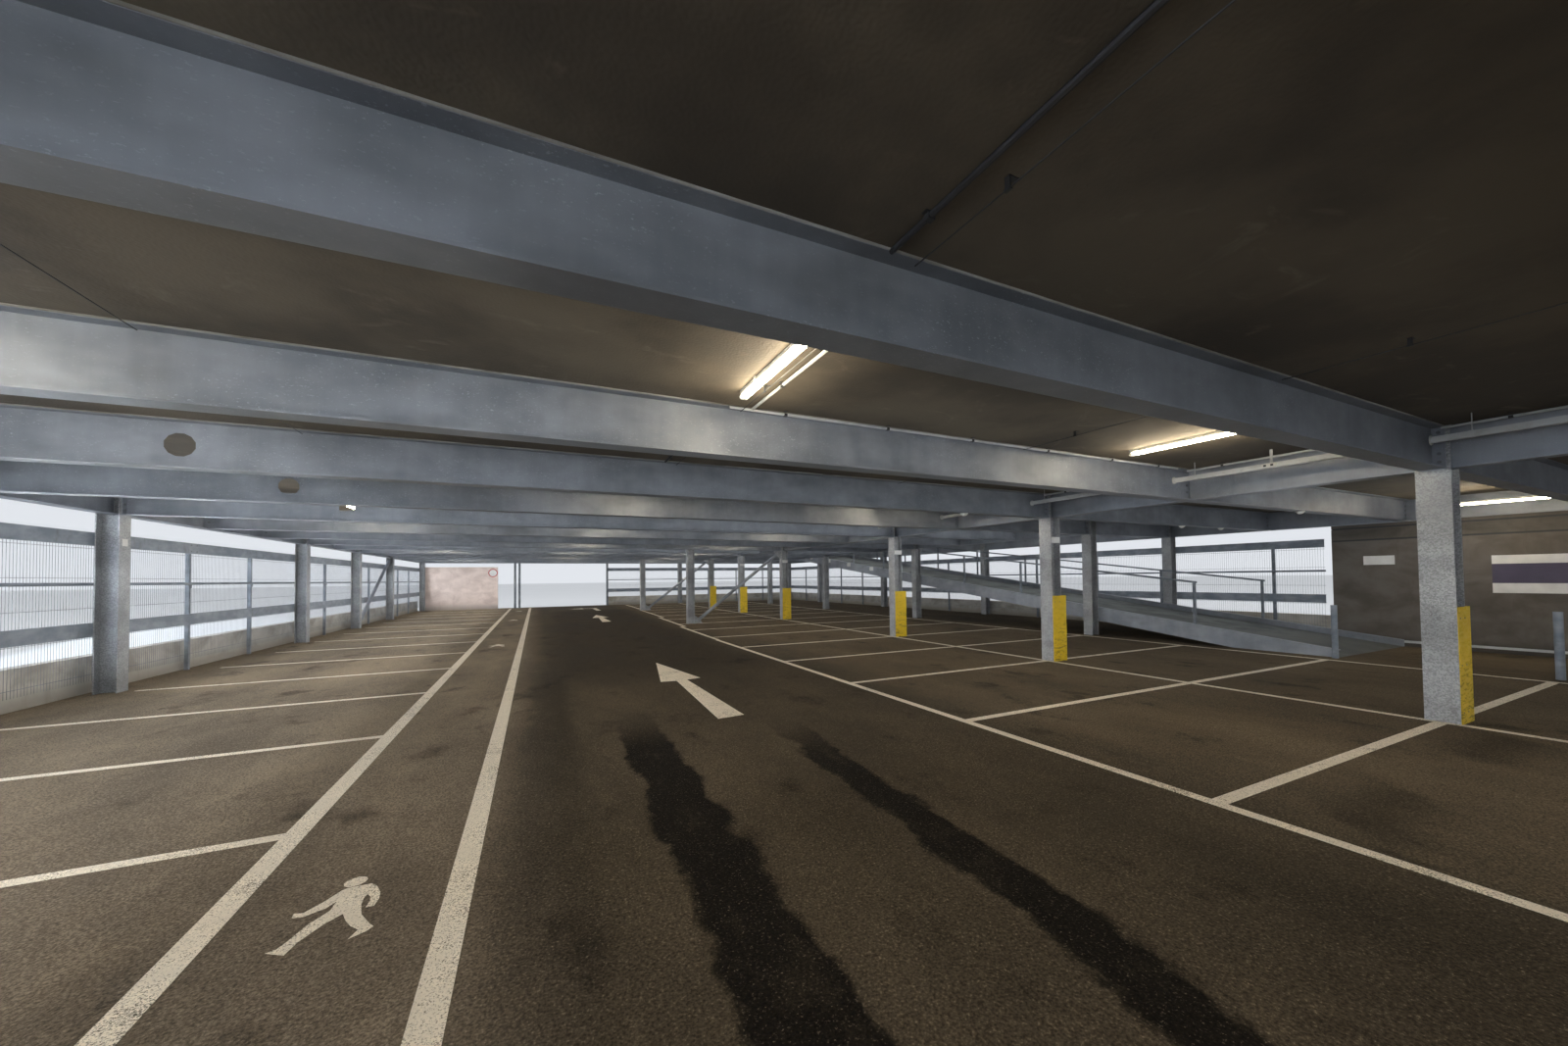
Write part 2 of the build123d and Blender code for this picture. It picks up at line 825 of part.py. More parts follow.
def lamp_places():
    """Middle of each soffit lamp, row by row."""
    return [
        (x_left + row, (frame_y(m) + frame_y(m + 1)) / 2, beam_z(level) + beam_depth)
        for level in decks
        for row, first, step in zip(lamp_rows, lamp_first_bays, lamp_bay_steps)
        for m in range(first, last_frame, step)
    ]


def lamp_bodies():
    """Bodies of the soffit lamps."""
    half, wide = lamp_length / 2, lamp_width / 2
    return [
        block(x - wide, x + wide, y - half, y + half, z - lamp_body_height, z)
        for x, y, z in lamp_places()
    ]


def lamp_tubes():
    """Diffusers under the lamp bodies."""
    half, wide = lamp_length / 2 - 20, lamp_tube_width / 2
    tubes = []
    for x, y, z in lamp_places():
        z1 = z - lamp_body_height
        tubes.append(block(x - wide, x + wide, y - half, y + half, z1 - lamp_tube_height, z1))
    return tubes


def trunking_runs():
    """Ends of the trunking between the beams, beside the spine, on every storey."""
    gap = beam_width / 2 + cope_gap
    return [
        (frame_y(m) + gap, frame_y(m + 1) - gap, beam_z(level) + beam_depth)
        for level in decks
        for m in range(last_frame)
    ]


def lighting_trunking():
    """Square trunking beside the spine beam, each length on a flat hanger from the soffit."""
    x0 = x_spine - trunking_line
    x1 = x0 + trunking_side
    half = hanger_width / 2
    pieces = []
    for y0, y1, soffit in trunking_runs():
        z1 = soffit - trunking_drop
        z0 = z1 - trunking_side
        middle = (y0 + y1) / 2
        hanger = block(x1, x1 + hanger_thickness, middle - half, middle + half, z0, soffit)
        pieces.append(block(x0, x1, y0, y1, z0, z1).fuse(hanger))
    return pieces


def soffit_domes():
    """Small tapered covers under the beams of the ground storey."""
    places = [(x_ramp - 1200, 3), (x_spine - 2170, 4), (x_ramp - 240, 4), (x_ramp + 1400, 4)]
    return [
        extrude(Pos(x, frame_y(f), beam_z(1)) * round_section(dome_diameter), -dome_height, taper=dome_taper)
        for x, f in places
    ]


def notice_boards():
    """Bare notice boards on the wall beside the ramp lane."""
    x1 = screen_x0
    x0 = x1 - notice_thickness
    z0 = floor_z(0) + notice_bottom
    middle = y_near + notice_middle
    half = notice_width / 2
    large = block(x0, x1, middle - half, middle + half, z0, z0 + notice_height)
    y1 = screen_end - small_notice_inset
    z = floor_z(0) + small_notice_bottom
    small = block(x0, x1, y1 - small_notice_width, y1, z, z + small_notice_height)
    return [large, small]


braces = brace_sets()
parts = {
    "ground_slab": ground_slab(),
    "dwarf_walls": dwarf_walls(),
    "left_columns": line_columns(x_left, left_frames),
    "spine_columns": line_columns(x_spine, left_frames),
    "right_columns": line_columns(x_right, right_frames),
    "ramp_columns": line_columns(x_ramp, ramp_frames),
    "aisle_posts": aisle_posts(),
    "aisle_beams_1": aisle_beams(1),
    "aisle_beams_2": aisle_beams(2),
    "ramp_side_beams_1": ramp_side_beams(1),
    "ramp_side_beams_2": ramp_side_beams(2),
    "left_edge_beams": line_beams(x_left, left_frames),
    "spine_beams": line_beams(x_spine, left_frames),
    "right_edge_beams": line_beams(x_right, right_frames),
    "ramp_trimmers": line_beams(x_ramp, ramp_frames),
    "deck_units_1": deck_units(1),
    "deck_units_2": deck_units(2),
    "upstands": upstands(1) + upstands(2),
    "ramp_slabs": [ramp_slab(level) for level in covered],
    "ramp_channels": [ramp_channel(level, way) for level in covered for way in (1, -1)],
    "ramp_balustrades": ramp_balustrades(),
    "well_guards": well_guards(),
    "brace_tubes": [tube for tube, plates in braces],
    "brace_gussets": [plate for tube, plates in braces for plate in plates],
    "barrier_rails": side_rails(barrier_bottom, barrier_height),
    "top_bands": side_rails(band_bottom, band_height),
    "slim_posts": slim_posts(),
    "handrails": handrails(),
    "parapet_frames": parapet_frames(),
    "parapet_rails": parapet_rails(),
    "lane_screen": screen_wall() + screen_kerb(),
    "screen_boards": screen_boards(),
    "far_end_wall": end_wall(),
    "entrance_posts": entrance_posts(),
    "bollards": bollards(),
    "column_guards": column_guards(),
    "lamp_bodies": lamp_bodies(),
    "lamp_tubes": lamp_tubes(),
    "lighting_trunking": lighting_trunking(),
    "soffit_domes": soffit_domes(),
    "notice_boards": notice_boards(),
}

os.makedirs("parts", exist_ok=True)
for name, pieces in parts.items():
    solids = [solid for piece in pieces for solid in piece.solids()]
    shape = solids[0] if len(solids) == 1 else Compound(children=solids)
    export_step(shape, f"parts/{name}.step")
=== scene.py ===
"""Finishes, markings, fittings, lights and camera of the multi storey car park."""

from __future__ import annotations

import json
import logging
import math
from dataclasses import dataclass
from enum import Enum
from typing import Iterable, Protocol, Sequence, Union

import bmesh
import bpy
from mathutils import Matrix, Vector

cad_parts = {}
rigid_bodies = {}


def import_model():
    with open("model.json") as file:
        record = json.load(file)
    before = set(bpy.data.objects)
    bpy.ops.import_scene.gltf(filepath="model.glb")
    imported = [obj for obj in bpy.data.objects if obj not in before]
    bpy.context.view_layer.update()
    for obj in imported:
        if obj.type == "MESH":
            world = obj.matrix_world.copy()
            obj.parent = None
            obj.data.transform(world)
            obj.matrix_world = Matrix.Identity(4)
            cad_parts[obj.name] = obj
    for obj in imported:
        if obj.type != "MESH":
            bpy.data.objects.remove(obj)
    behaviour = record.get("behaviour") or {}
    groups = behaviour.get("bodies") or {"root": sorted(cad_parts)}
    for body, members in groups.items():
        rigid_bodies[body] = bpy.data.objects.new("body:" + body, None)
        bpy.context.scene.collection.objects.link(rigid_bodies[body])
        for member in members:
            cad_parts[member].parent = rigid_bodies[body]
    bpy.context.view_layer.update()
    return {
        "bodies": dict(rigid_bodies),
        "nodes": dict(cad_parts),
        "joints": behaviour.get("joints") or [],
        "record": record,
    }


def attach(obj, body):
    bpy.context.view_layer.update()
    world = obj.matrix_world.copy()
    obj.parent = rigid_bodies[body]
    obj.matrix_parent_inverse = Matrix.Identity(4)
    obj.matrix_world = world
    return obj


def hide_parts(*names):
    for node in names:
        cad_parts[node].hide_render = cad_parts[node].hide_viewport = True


log = logging.getLogger("car_park")

Colour = tuple[float, float, float]
Point = tuple[float, float, float]
Flat = tuple[float, float]
Material = bpy.types.Material
Socket = bpy.types.NodeSocket
Value = Union[Socket, Colour, float]
Looks = dict[str, Material]


def tone(*card: float) -> Colour:
    """Turn a colour-card value into light values.

    Args:
        card: Red, green and blue from 0 to 255.

    Returns:
        The same colour as the shaders take it.
    """
    parts = [value / 255 for value in card]
    return tuple(p / 12.92 if p <= 0.04045 else ((p + 0.055) / 1.055) ** 2.4 for p in parts)


# Shaders
class Graph:
    """Shader nodes of one finish or of the world, joined step by step."""

    def __init__(self, owner: str | bpy.types.World) -> None:
        """Start with an empty tree.

        Args:
            owner: Name of a new material, or the world.
        """
        self.owner = bpy.data.materials.new(owner) if isinstance(owner, str) else owner
        self.owner.use_nodes = True
        self.tree = self.owner.node_tree
        self.tree.nodes.clear()

    def node(self, kind: str, inputs: dict[str | int, object], **settings: str) -> bpy.types.Node:
        """Add a node.

        Args:
            kind: Its type, without the words that all types start with.
            inputs: Number, colour, socket or node for each of its sockets that changes.
            settings: Its options.

        Returns:
            The node.
        """
        made = self.tree.nodes.new(f"ShaderNode{kind}")
        for option, choice in settings.items():
            setattr(made, option, choice)
        for key, value in inputs.items():
            target = made.inputs[key]
            if isinstance(value, bpy.types.Node):
                value = value.outputs[0]
            if isinstance(value, Socket):
                self.tree.links.new(value, target)
            elif target.type == "RGBA":
                target.default_value = (*value, 1.0)
            else:
                target.default_value = value
        return made

    def place(self, scale: Point = (1, 1, 1), offset: Point = (0, 0, 0)) -> Socket:
        """Object coordinates, stretched and moved."""
        source = self.node("TexCoord", {}).outputs["Object"]
        return self.node("Mapping", {"Vector": source, "Scale": scale, "Location": offset}).outputs[0]

    def axes(self) -> list[Socket]:
        """Object coordinates as three numbers."""
        return list(self.node("SeparateXYZ", {0: self.place()}).outputs)

    def upness(self) -> Socket:
        """How far a face looks up, from -1 to 1."""
        normal = self.node("NewGeometry", {}).outputs["Normal"]
        return self.node("SeparateXYZ", {0: normal}).outputs[2]

    def noise(
        self,
        scale: float,
        detail: float = 4.0,
        stretch: Point = (1, 1, 1),
        rough: float = 0.55,
        warp: float = 0.0,
        offset: Point = (0, 0, 0),
    ) -> Socket:
        """Cloudy pattern.

        Args:
            scale: Patches to the metre.
            detail: Octaves of finer patches.
            stretch: Factors along the three axes.
            rough: Strength of the finer patches.
            warp: Distortion of the pattern.
            offset: Shift of the pattern.

        Returns:
            The pattern's value.
        """
        inputs = {"Scale": scale, "Detail": detail, "Roughness": rough, "Distortion": warp}
        return self.node("TexNoise", {"Vector": self.place(stretch, offset), **inputs}).outputs["Fac"]

    def cells(self, scale: float) -> Socket:
        """Random value in each crystal of a cell pattern."""
        pattern = self.node("TexVoronoi", {"Vector": self.place(), "Scale": scale})
        return self.node("SeparateColor", {0: pattern.outputs["Color"]}).outputs[0]

    def band(self, value: Socket, low: float, high: float, to: Flat = (0.0, 1.0)) -> Socket:
        """Smooth step from one level to another.

        Args:
            value: The pattern that is read.
            low: Value at which the step starts.
            high: Value at which the step ends.
            to: Result before and after the step.

        Returns:
            The stepped value.
        """
        inputs = {"Value": value, "From Min": low, "From Max": high, "To Min": to[0], "To Max": to[1]}
        return self.node("MapRange", inputs, interpolation_type="SMOOTHSTEP").outputs["Result"]

    def calc(self, work: str, first: Value, second: Value = 0.0) -> Socket:
        """Sum, product or another step with two numbers."""
        return self.node("Math", {0: first, 1: second}, operation=work).outputs[0]

    def times(self, first: Value, second: Value) -> Socket:
        """Product of two numbers."""
        return self.calc("MULTIPLY", first, second)

    def mix(self, share: Value, first: Value, second: Value) -> Socket:
        """Blend of two colours, with the share of the second."""
        return self.node("Mix", {0: share, 6: first, 7: second}, data_type="RGBA").outputs[2]

    def shade(self, colour: Value, factor: Socket) -> Socket:
        """Colour made darker or lighter by a factor."""
        return self.node("HueSaturation", {"Color": colour, "Value": factor}).outputs[0]

    def close(self, shader: bpy.types.Node) -> None:
        """End the tree with a shader."""
        kind = "OutputWorld" if isinstance(self.owner, bpy.types.World) else "OutputMaterial"
        self.node(kind, {0: shader})

    def finish(
        self,
        colour: Value,
        rough: Value,
        height: Socket,
        depth: float,
        metal: float = 0.0,
        shine: float = 0.5,
        **more: Value,
    ) -> Material:
        """Join the colour, the roughness and the relief to the surface.

        Args:
            colour: Base colour.
            rough: Roughness of the surface.
            height: Relief pattern.
            depth: Height of the relief in metres.
            metal: Metallic share.
            shine: Strength of the plain reflection.
            more: Light that it gives off, as glow and strength.

        Returns:
            The finished material.
        """
        bump = self.node("Bump", {"Strength": 0.6, "Distance": depth, "Height": height})
        look = {"Base Color": colour, "Roughness": rough, "Metallic": metal, "Specular IOR Level": shine}
        if more:
            look |= {"Emission Color": more["glow"], "Emission Strength": more["strength"]}
        self.close(self.node("BsdfPrincipled", {**look, "Normal": bump}))
        return self.owner


class Finish(Protocol):
    """Anything that can make a material."""

    name: str

    def material(self) -> Material:
        """The finish as a material."""


@dataclass(frozen=True)
class GalvanisedSteel:
    """Weathered zinc: clouds, crystals, pale flecks and runs down the webs, with painted shade that darkens
    the faces that look down.
    """

    name: str = "galvanised_beam"
    dark: Colour = tone(124, 128, 135)
    pale: Colour = tone(150, 154, 161)
    fleck: Colour = tone(196, 202, 210)
    grime: Colour = tone(92, 90, 88)
    fleck_level: float = 0.6
    crystals: float = 0.08
    spangled: bool = False
    crystal_scale: float = 75.0
    runs: float = 0.12
    # Painted shade: share of brightness kept on faces that look down.
    painted_underside_shade: float = 0.72

    def material(self) -> Material:
        """The finish as a material."""
        g = Graph(self.name)
        cloud = g.noise(1.3, 3, (1, 1, 1.7), 0.6)
        runs = g.band(g.noise(7.0, 3, (1, 1, 0.12), 0.6), 0.35, 0.7, (-self.runs, self.runs))
        colour = g.mix(g.calc("ADD", g.band(cloud, 0.25, 0.75), runs), self.dark, self.pale)
        crystal = g.cells(self.crystal_scale) if self.spangled else cloud
        colour = g.shade(colour, g.band(crystal, 0.0, 1.0, (1 - self.crystals, 1 + self.crystals)))
        specks = g.noise(70.0, 3, (0.6, 1, 1.3), 0.75)
        flecks = g.band(specks, self.fleck_level, self.fleck_level + 0.09)
        wash = g.noise(0.9, 3, (1, 1, 2), offset=(7, 3, 1))
        colour = g.mix(g.times(flecks, g.band(wash, 0.4, 0.66, (0.15, 0.7))), colour, self.fleck)
        colour = g.mix(g.band(wash, 0.3, 0.45, (0.25, 0.0)), colour, self.grime)
        # Painted shade: faces that look down are made darker.
        colour = g.shade(colour, g.band(g.upness(), -0.95, -0.5, (self.painted_underside_shade, 1.0)))
        rough = g.band(crystal, 0.0, 1.0, (0.42, 0.58))
        return g.finish(colour, rough, g.noise(90.0, 0, (0.6, 1, 1.3)), 0.0006, 0.35)


@dataclass(frozen=True)
class PaintedSteel:
    """Coated rails and posts with rubbed edges and dust."""

    name: str = "rail_coat"
    coat: Colour = tone(112, 120, 130)
    worn: Colour = tone(150, 156, 164)
    dust: Colour = tone(92, 90, 86)
    gloss: Flat = (0.45, 0.6)

    def material(self) -> Material:
        """The finish as a material."""
        g = Graph(self.name)
        cloud = g.band(g.noise(3.0, 5, (1, 1, 2)), 0.35, 0.7)
        dust = g.band(g.noise(9.0, 5, (1, 1, 0.3), 0.65), 0.55, 0.75, (0.0, 0.5))
        colour = g.mix(dust, g.mix(cloud, self.coat, self.worn), self.dust)
        return g.finish(colour, g.band(cloud, 0, 1, self.gloss), g.noise(140.0, 2), 0.0003, 0.15)


@dataclass(frozen=True)
class TrafficMark:
    """Dark band worn into the lane by tyres and drips."""

    start: Flat
    end: Flat
    half_width: float
    spread: float
    strength: float
    fade: float

    def share(self, g: Graph, sway: Socket) -> Socket:
        """Share of the mark at each point of the floor.

        Args:
            g: Nodes of the floor's finish.
            sway: How far the mark strays sideways.

        Returns:
            The mark's strength at each point.
        """
        x, y, _ = g.axes()
        slope = (self.end[0] - self.start[0]) / (self.end[1] - self.start[1])
        middle = g.calc("ADD", g.times(y, slope), self.start[0] - slope * self.start[1])
        away = g.calc("ABSOLUTE", g.calc("ADD", g.calc("SUBTRACT", x, middle), sway))
        across = g.band(away, self.half_width, self.half_width + self.spread, (1.0, 0.0))
        low, high = sorted((self.start[1], self.end[1]))
        begins = g.band(y, low - self.fade, low + self.fade)
        ends = g.band(y, high - self.fade, high + self.fade, (1.0, 0.0))
        return g.times(g.times(across, g.times(begins, ends)), self.strength)


@dataclass(frozen=True)
class Asphalt:
    """Rolled asphalt: stones, clouds of wear, dark traffic marks, and painted daylight that makes the bays
    by the open left side lighter.
    """

    name: str = "asphalt"
    lane: Colour = tone(71, 62, 49)
    bays: Colour = tone(117, 104, 87)
    inner_bays: Colour = tone(90, 79, 63)
    stone: Colour = tone(138, 126, 108)
    pitch: Colour = tone(22, 18, 14)
    edges: Flat = (-5.9, -1.2)
    marks: tuple[TrafficMark, ...] = (
        TrafficMark((-4.7, -10.6), (-4.87, -17.0), 0.19, 0.07, 0.96, 0.8),
        TrafficMark((-3.24, -11.6), (-3.64, -17.0), 0.13, 0.07, 0.96, 0.8),
        TrafficMark((-3.1, 14.0), (-3.6, -7.4), 1.3, 1.2, 0.5, 1.5),
        TrafficMark((-0.3, -14.75), (-0.6, -15.15), 0.45, 0.2, 0.5, 0.25),
        TrafficMark((2.3, -14.7), (2.2, -15.1), 0.5, 0.25, 0.5, 0.2),
        TrafficMark((-5.55, -7.0), (-5.7, -14.2), 0.1, 0.3, 0.4, 1.0),
    )

    def material(self) -> Material:
        """The finish as a material."""
        g = Graph(self.name)
        x, _, _ = g.axes()
        left, right = self.edges
        inside = g.times(g.band(x, left - 0.4, left + 0.5), g.band(x, right - 0.6, right + 0.9, (1.0, 0.0)))
        # Painted daylight: the bays left of the lane, by the open left side, are lighter than the inner bays
        # right of it.
        colour = g.mix(inside, g.mix(g.band(x, -4.0, -1.0), self.bays, self.inner_bays), self.lane)
        cloud = g.noise(0.55, 7, (1, 0.5, 1), 0.7)
        colour = g.shade(colour, g.band(cloud, 0.25, 0.75, (0.62, 1.35)))
        blots = g.noise(1.7, 4, (1, 0.7, 1), 0.62, 0.0, (4, 1, 0))
        colour = g.mix(g.band(blots, 0.56, 0.72, (0.0, 0.55)), colour, self.pitch)
        torn = g.band(g.noise(5.0, 3, (1, 0.5, 1), 0.68, 0.0, (1, 5, 0)), 0.25, 0.5, (0.75, 1.0))
        sway = g.band(g.noise(2.2, 5, (1.6, 1, 1), 0.62, 0.0, (3, 2, 0)), 0.2, 0.8, (-0.08, 0.08))
        for mark in self.marks:
            colour = g.mix(g.times(mark.share(g, sway), torn), colour, self.pitch)
        grain = g.noise(75.0, 3, rough=0.8)
        colour = g.mix(g.band(grain, 0.6, 0.72, (0.0, 0.4)), colour, self.stone)
        colour = g.shade(colour, g.band(grain, 0.3, 0.7, (0.45, 1.55)))
        rough = g.band(cloud, 0.3, 0.7, (0.78, 0.95))
        return g.finish(colour, rough, g.noise(110.0, 0), 0.003, shine=0.05)


@dataclass(frozen=True)
class DeckConcrete:
    """Deck: worn asphalt colour on top, dark sooty concrete on the soffit."""

    name: str = "deck"
    top: Colour = tone(104, 101, 96)
    soffit: Colour = tone(92, 83, 69)
    stain: Colour = tone(62, 55, 45)
    bloom: Colour = tone(116, 106, 90)

    def material(self) -> Material:
        """The finish as a material."""
        g = Graph(self.name)
        cloud = g.noise(0.7, 5, rough=0.62)
        under = g.mix(g.band(cloud, 0.35, 0.66), self.stain, self.soffit)
        bloom = g.band(g.noise(1.9, 4, (1, 1.6, 1), 0.65, 0.9, (5, 2, 0)), 0.58, 0.75, (0.0, 0.5))
        under = g.mix(bloom, under, self.bloom)
        above = g.shade(self.top, g.band(cloud, 0.25, 0.75, (0.7, 1.25)))
        above = g.shade(above, g.band(g.noise(120.0, 2, rough=0.7), 0.2, 0.8, (0.85, 1.15)))
        colour = g.mix(g.band(g.upness(), -0.2, 0.2), under, above)
        return g.finish(colour, g.band(cloud, 0.3, 0.7, (0.78, 0.92)), g.noise(60.0, 0), 0.0025)


@dataclass(frozen=True)
class Concrete:
    """Cast or rendered wall with stains that run down it."""

    name: str
    base: Colour
    stain: Colour = tone(104, 99, 90)
    foot: Colour = tone(84, 78, 68)
    foot_height: float = 0.5

    def material(self) -> Material:
        """The finish as a material."""
        g = Graph(self.name)
        cloud = g.noise(1.4, 4, (1, 1, 1.5), 0.6, 0.4)
        colour = g.mix(g.band(cloud, 0.35, 0.72), self.base, self.stain)
        runs = g.band(g.noise(6.0, 3, (1, 1, 0.15), 0.6), 0.55, 0.75, (0.0, 0.5))
        level = g.calc("ADD", g.axes()[2], g.band(cloud, 0, 1, (-0.2, 0.2)))
        splash = g.band(level, 0.15, 0.15 + self.foot_height, (0.7, 0.0))
        colour = g.mix(splash, g.mix(runs, colour, self.stain), self.foot)
        return g.finish(colour, g.band(cloud, 0.3, 0.7, (0.8, 0.92)), g.noise(80.0, 1), 0.002)


@dataclass(frozen=True)
class LinePaint:
    """Road paint worn through to the asphalt in specks and patches."""

    name: str = "line_paint"
    paint: Colour = tone(232, 218, 194)
    ground: Colour = tone(84, 74, 58)
    wear: float = 0.42

    def material(self) -> Material:
        """The finish as a material."""
        g = Graph(self.name)
        specks = g.noise(130.0, 3, rough=0.75)
        patches = g.noise(3.2, 5, rough=0.6, offset=(2, 8, 0))
        level = g.calc("ADD", g.times(specks, 0.8), g.times(patches, 0.3))
        kept = g.band(level, self.wear, self.wear + 0.14)
        tinted = g.shade(self.paint, g.band(patches, 0.3, 0.7, (1.08, 0.82)))
        colour = g.mix(kept, self.ground, tinted)
        return g.finish(colour, g.band(kept, 0, 1, (0.9, 0.7)), specks, 0.0015)


@dataclass(frozen=True)
class GuardPaint:
    """Yellow paint with rubbed and scratched places."""

    name: str = "guard_yellow"
    paint: Colour = tone(222, 186, 28)
    rubbed: Colour = tone(120, 104, 48)

    def material(self) -> Material:
        """The finish as a material."""
        g = Graph(self.name)
        scuffs = g.noise(14.0, 6, (0.5, 0.5, 1.8), 0.7, 0.8)
        low = g.band(g.axes()[2], 0.3, 1.1, (0.9, 0.15))
        colour = g.mix(g.times(g.band(scuffs, 0.5, 0.64), low), self.paint, self.rubbed)
        colour = g.shade(colour, g.band(g.noise(3.0, 4), 0.3, 0.7, (0.9, 1.06)))
        return g.finish(colour, g.band(scuffs, 0.3, 0.7, (0.35, 0.7)), scuffs, 0.0005)


@dataclass(frozen=True)
class Plastic:
    """Moulded or enamelled fitting with a little dust."""

    name: str
    base: Colour
    dust: Colour = tone(120, 114, 104)
    gloss: float = 0.4

    def material(self) -> Material:
        """The finish as a material."""
        g = Graph(self.name)
        cloud = g.noise(8.0, 5, rough=0.6)
        colour = g.mix(g.band(cloud, 0.5, 0.8, (0.0, 0.4)), self.base, self.dust)
        rough = g.band(cloud, 0.3, 0.7, (self.gloss, self.gloss + 0.2))
        return g.finish(colour, rough, g.noise(200.0, 2), 0.0002)


@dataclass(frozen=True)
class LitDiffuser:
    """Opal cover lit from inside."""

    name: str = "lit_diffuser"
    cover: Colour = tone(246, 240, 226)
    glow: Colour = (1.0, 0.87, 0.64)
    strength: float = 60.0

    def material(self) -> Material:
        """The finish as a material."""
        g = Graph(self.name)
        ribs = g.noise(30.0, 2, (1, 0.2, 1))
        glow = g.shade(self.glow, g.band(ribs, 0.3, 0.7, (0.92, 1.05)))
        return g.finish(self.cover, 0.35, ribs, 0.0002, glow=glow, strength=self.strength)


@dataclass(frozen=True)
class NoticeEnamel:
    """White board with a plain dark band across the middle of the large ones."""

    name: str = "notice_enamel"
    white: Colour = tone(214, 212, 208)
    band: Colour = tone(62, 52, 74)
    levels: Flat = (1.52, 1.9)
    large_before: float = -12.9

    def material(self) -> Material:
        """The finish as a material."""
        g = Graph(self.name)
        _, y, z = g.axes()
        low, high = self.levels
        stripe = g.times(g.band(z, low, low + 0.004), g.band(z, high, high + 0.004, (1.0, 0.0)))
        large = g.band(y, self.large_before, self.large_before + 0.1, (1.0, 0.0))
        dirt = g.noise(5.0, 5)
        colour = g.mix(g.times(stripe, large), self.white, self.band)
        colour = g.shade(colour, g.band(dirt, 0.3, 0.7, (1.03, 0.9)))
        return g.finish(colour, g.band(dirt, 0, 1, (0.3, 0.5)), g.noise(80.0, 2), 0.0001)


# Places and levels
@dataclass(frozen=True)
class Plan:
    """Places and levels of the building that the fittings share, in metres."""

    bay: float = 2.4
    frames: int = 17
    x_left: float = -11.62
    x_spine: float = 3.22
    x_ramp: float = 7.92
    x_right: float = 11.62
    floor: float = 0.15
    storey: float = 3.387
    storeys: int = 2
    headroom: float = 2.73
    beam_depth: float = 0.457
    beam_width: float = 0.191
    beam_web: float = 0.009
    column_face: float = 0.127
    spine_frames: tuple[int, ...] = (0, 2, 4, 6, 9, 11, 13, 16)
    right_frames: tuple[int, ...] = (0, 2, 5, 8, 11, 14, 16)
    ramp_frames: tuple[int, ...] = (5, 8, 11, 14)

    def y(self, frame: float) -> float:
        """Place of a frame along the aisle."""
        return (frame - 8) * self.bay

    def modules(self, gap: float) -> list[Flat]:
        """Both ends of each stretch between two frames, short of them by a gap."""
        return [(self.y(i) + gap, self.y(i + 1) - gap) for i in range(self.frames - 1)]

    def floor_z(self, level: int) -> float:
        """Top of the floor on a level."""
        return self.floor + level * self.storey

    def beam_z(self, level: int) -> float:
        """Underside of the beams over a covered level."""
        return self.floor_z(level) + self.headroom

    def soffit(self, level: int) -> float:
        """Underside of the deck over a covered level."""
        return self.beam_z(level) + self.beam_depth


PLAN = Plan()


class Side(Enum):
    """The building's four sides, with the way out of each."""

    LEFT = (-1, 0)
    RIGHT = (1, 0)
    NEAR = (0, -1)
    FAR = (0, 1)


class Run(Enum):
    """How a service is carried along the soffit, with its radius."""

    CONDUIT = 0.0125
    ROD = 0.014
    WIRE = 0.0035


# Modelling
@dataclass(frozen=True)
class Piece:
    """Finish, record slot and stood-for node of a piece, and how it is made up."""

    look: str
    slot: str = "galvanised_steel"
    stands_for: str = ""
    both: bool = False
    smooth: bool = False


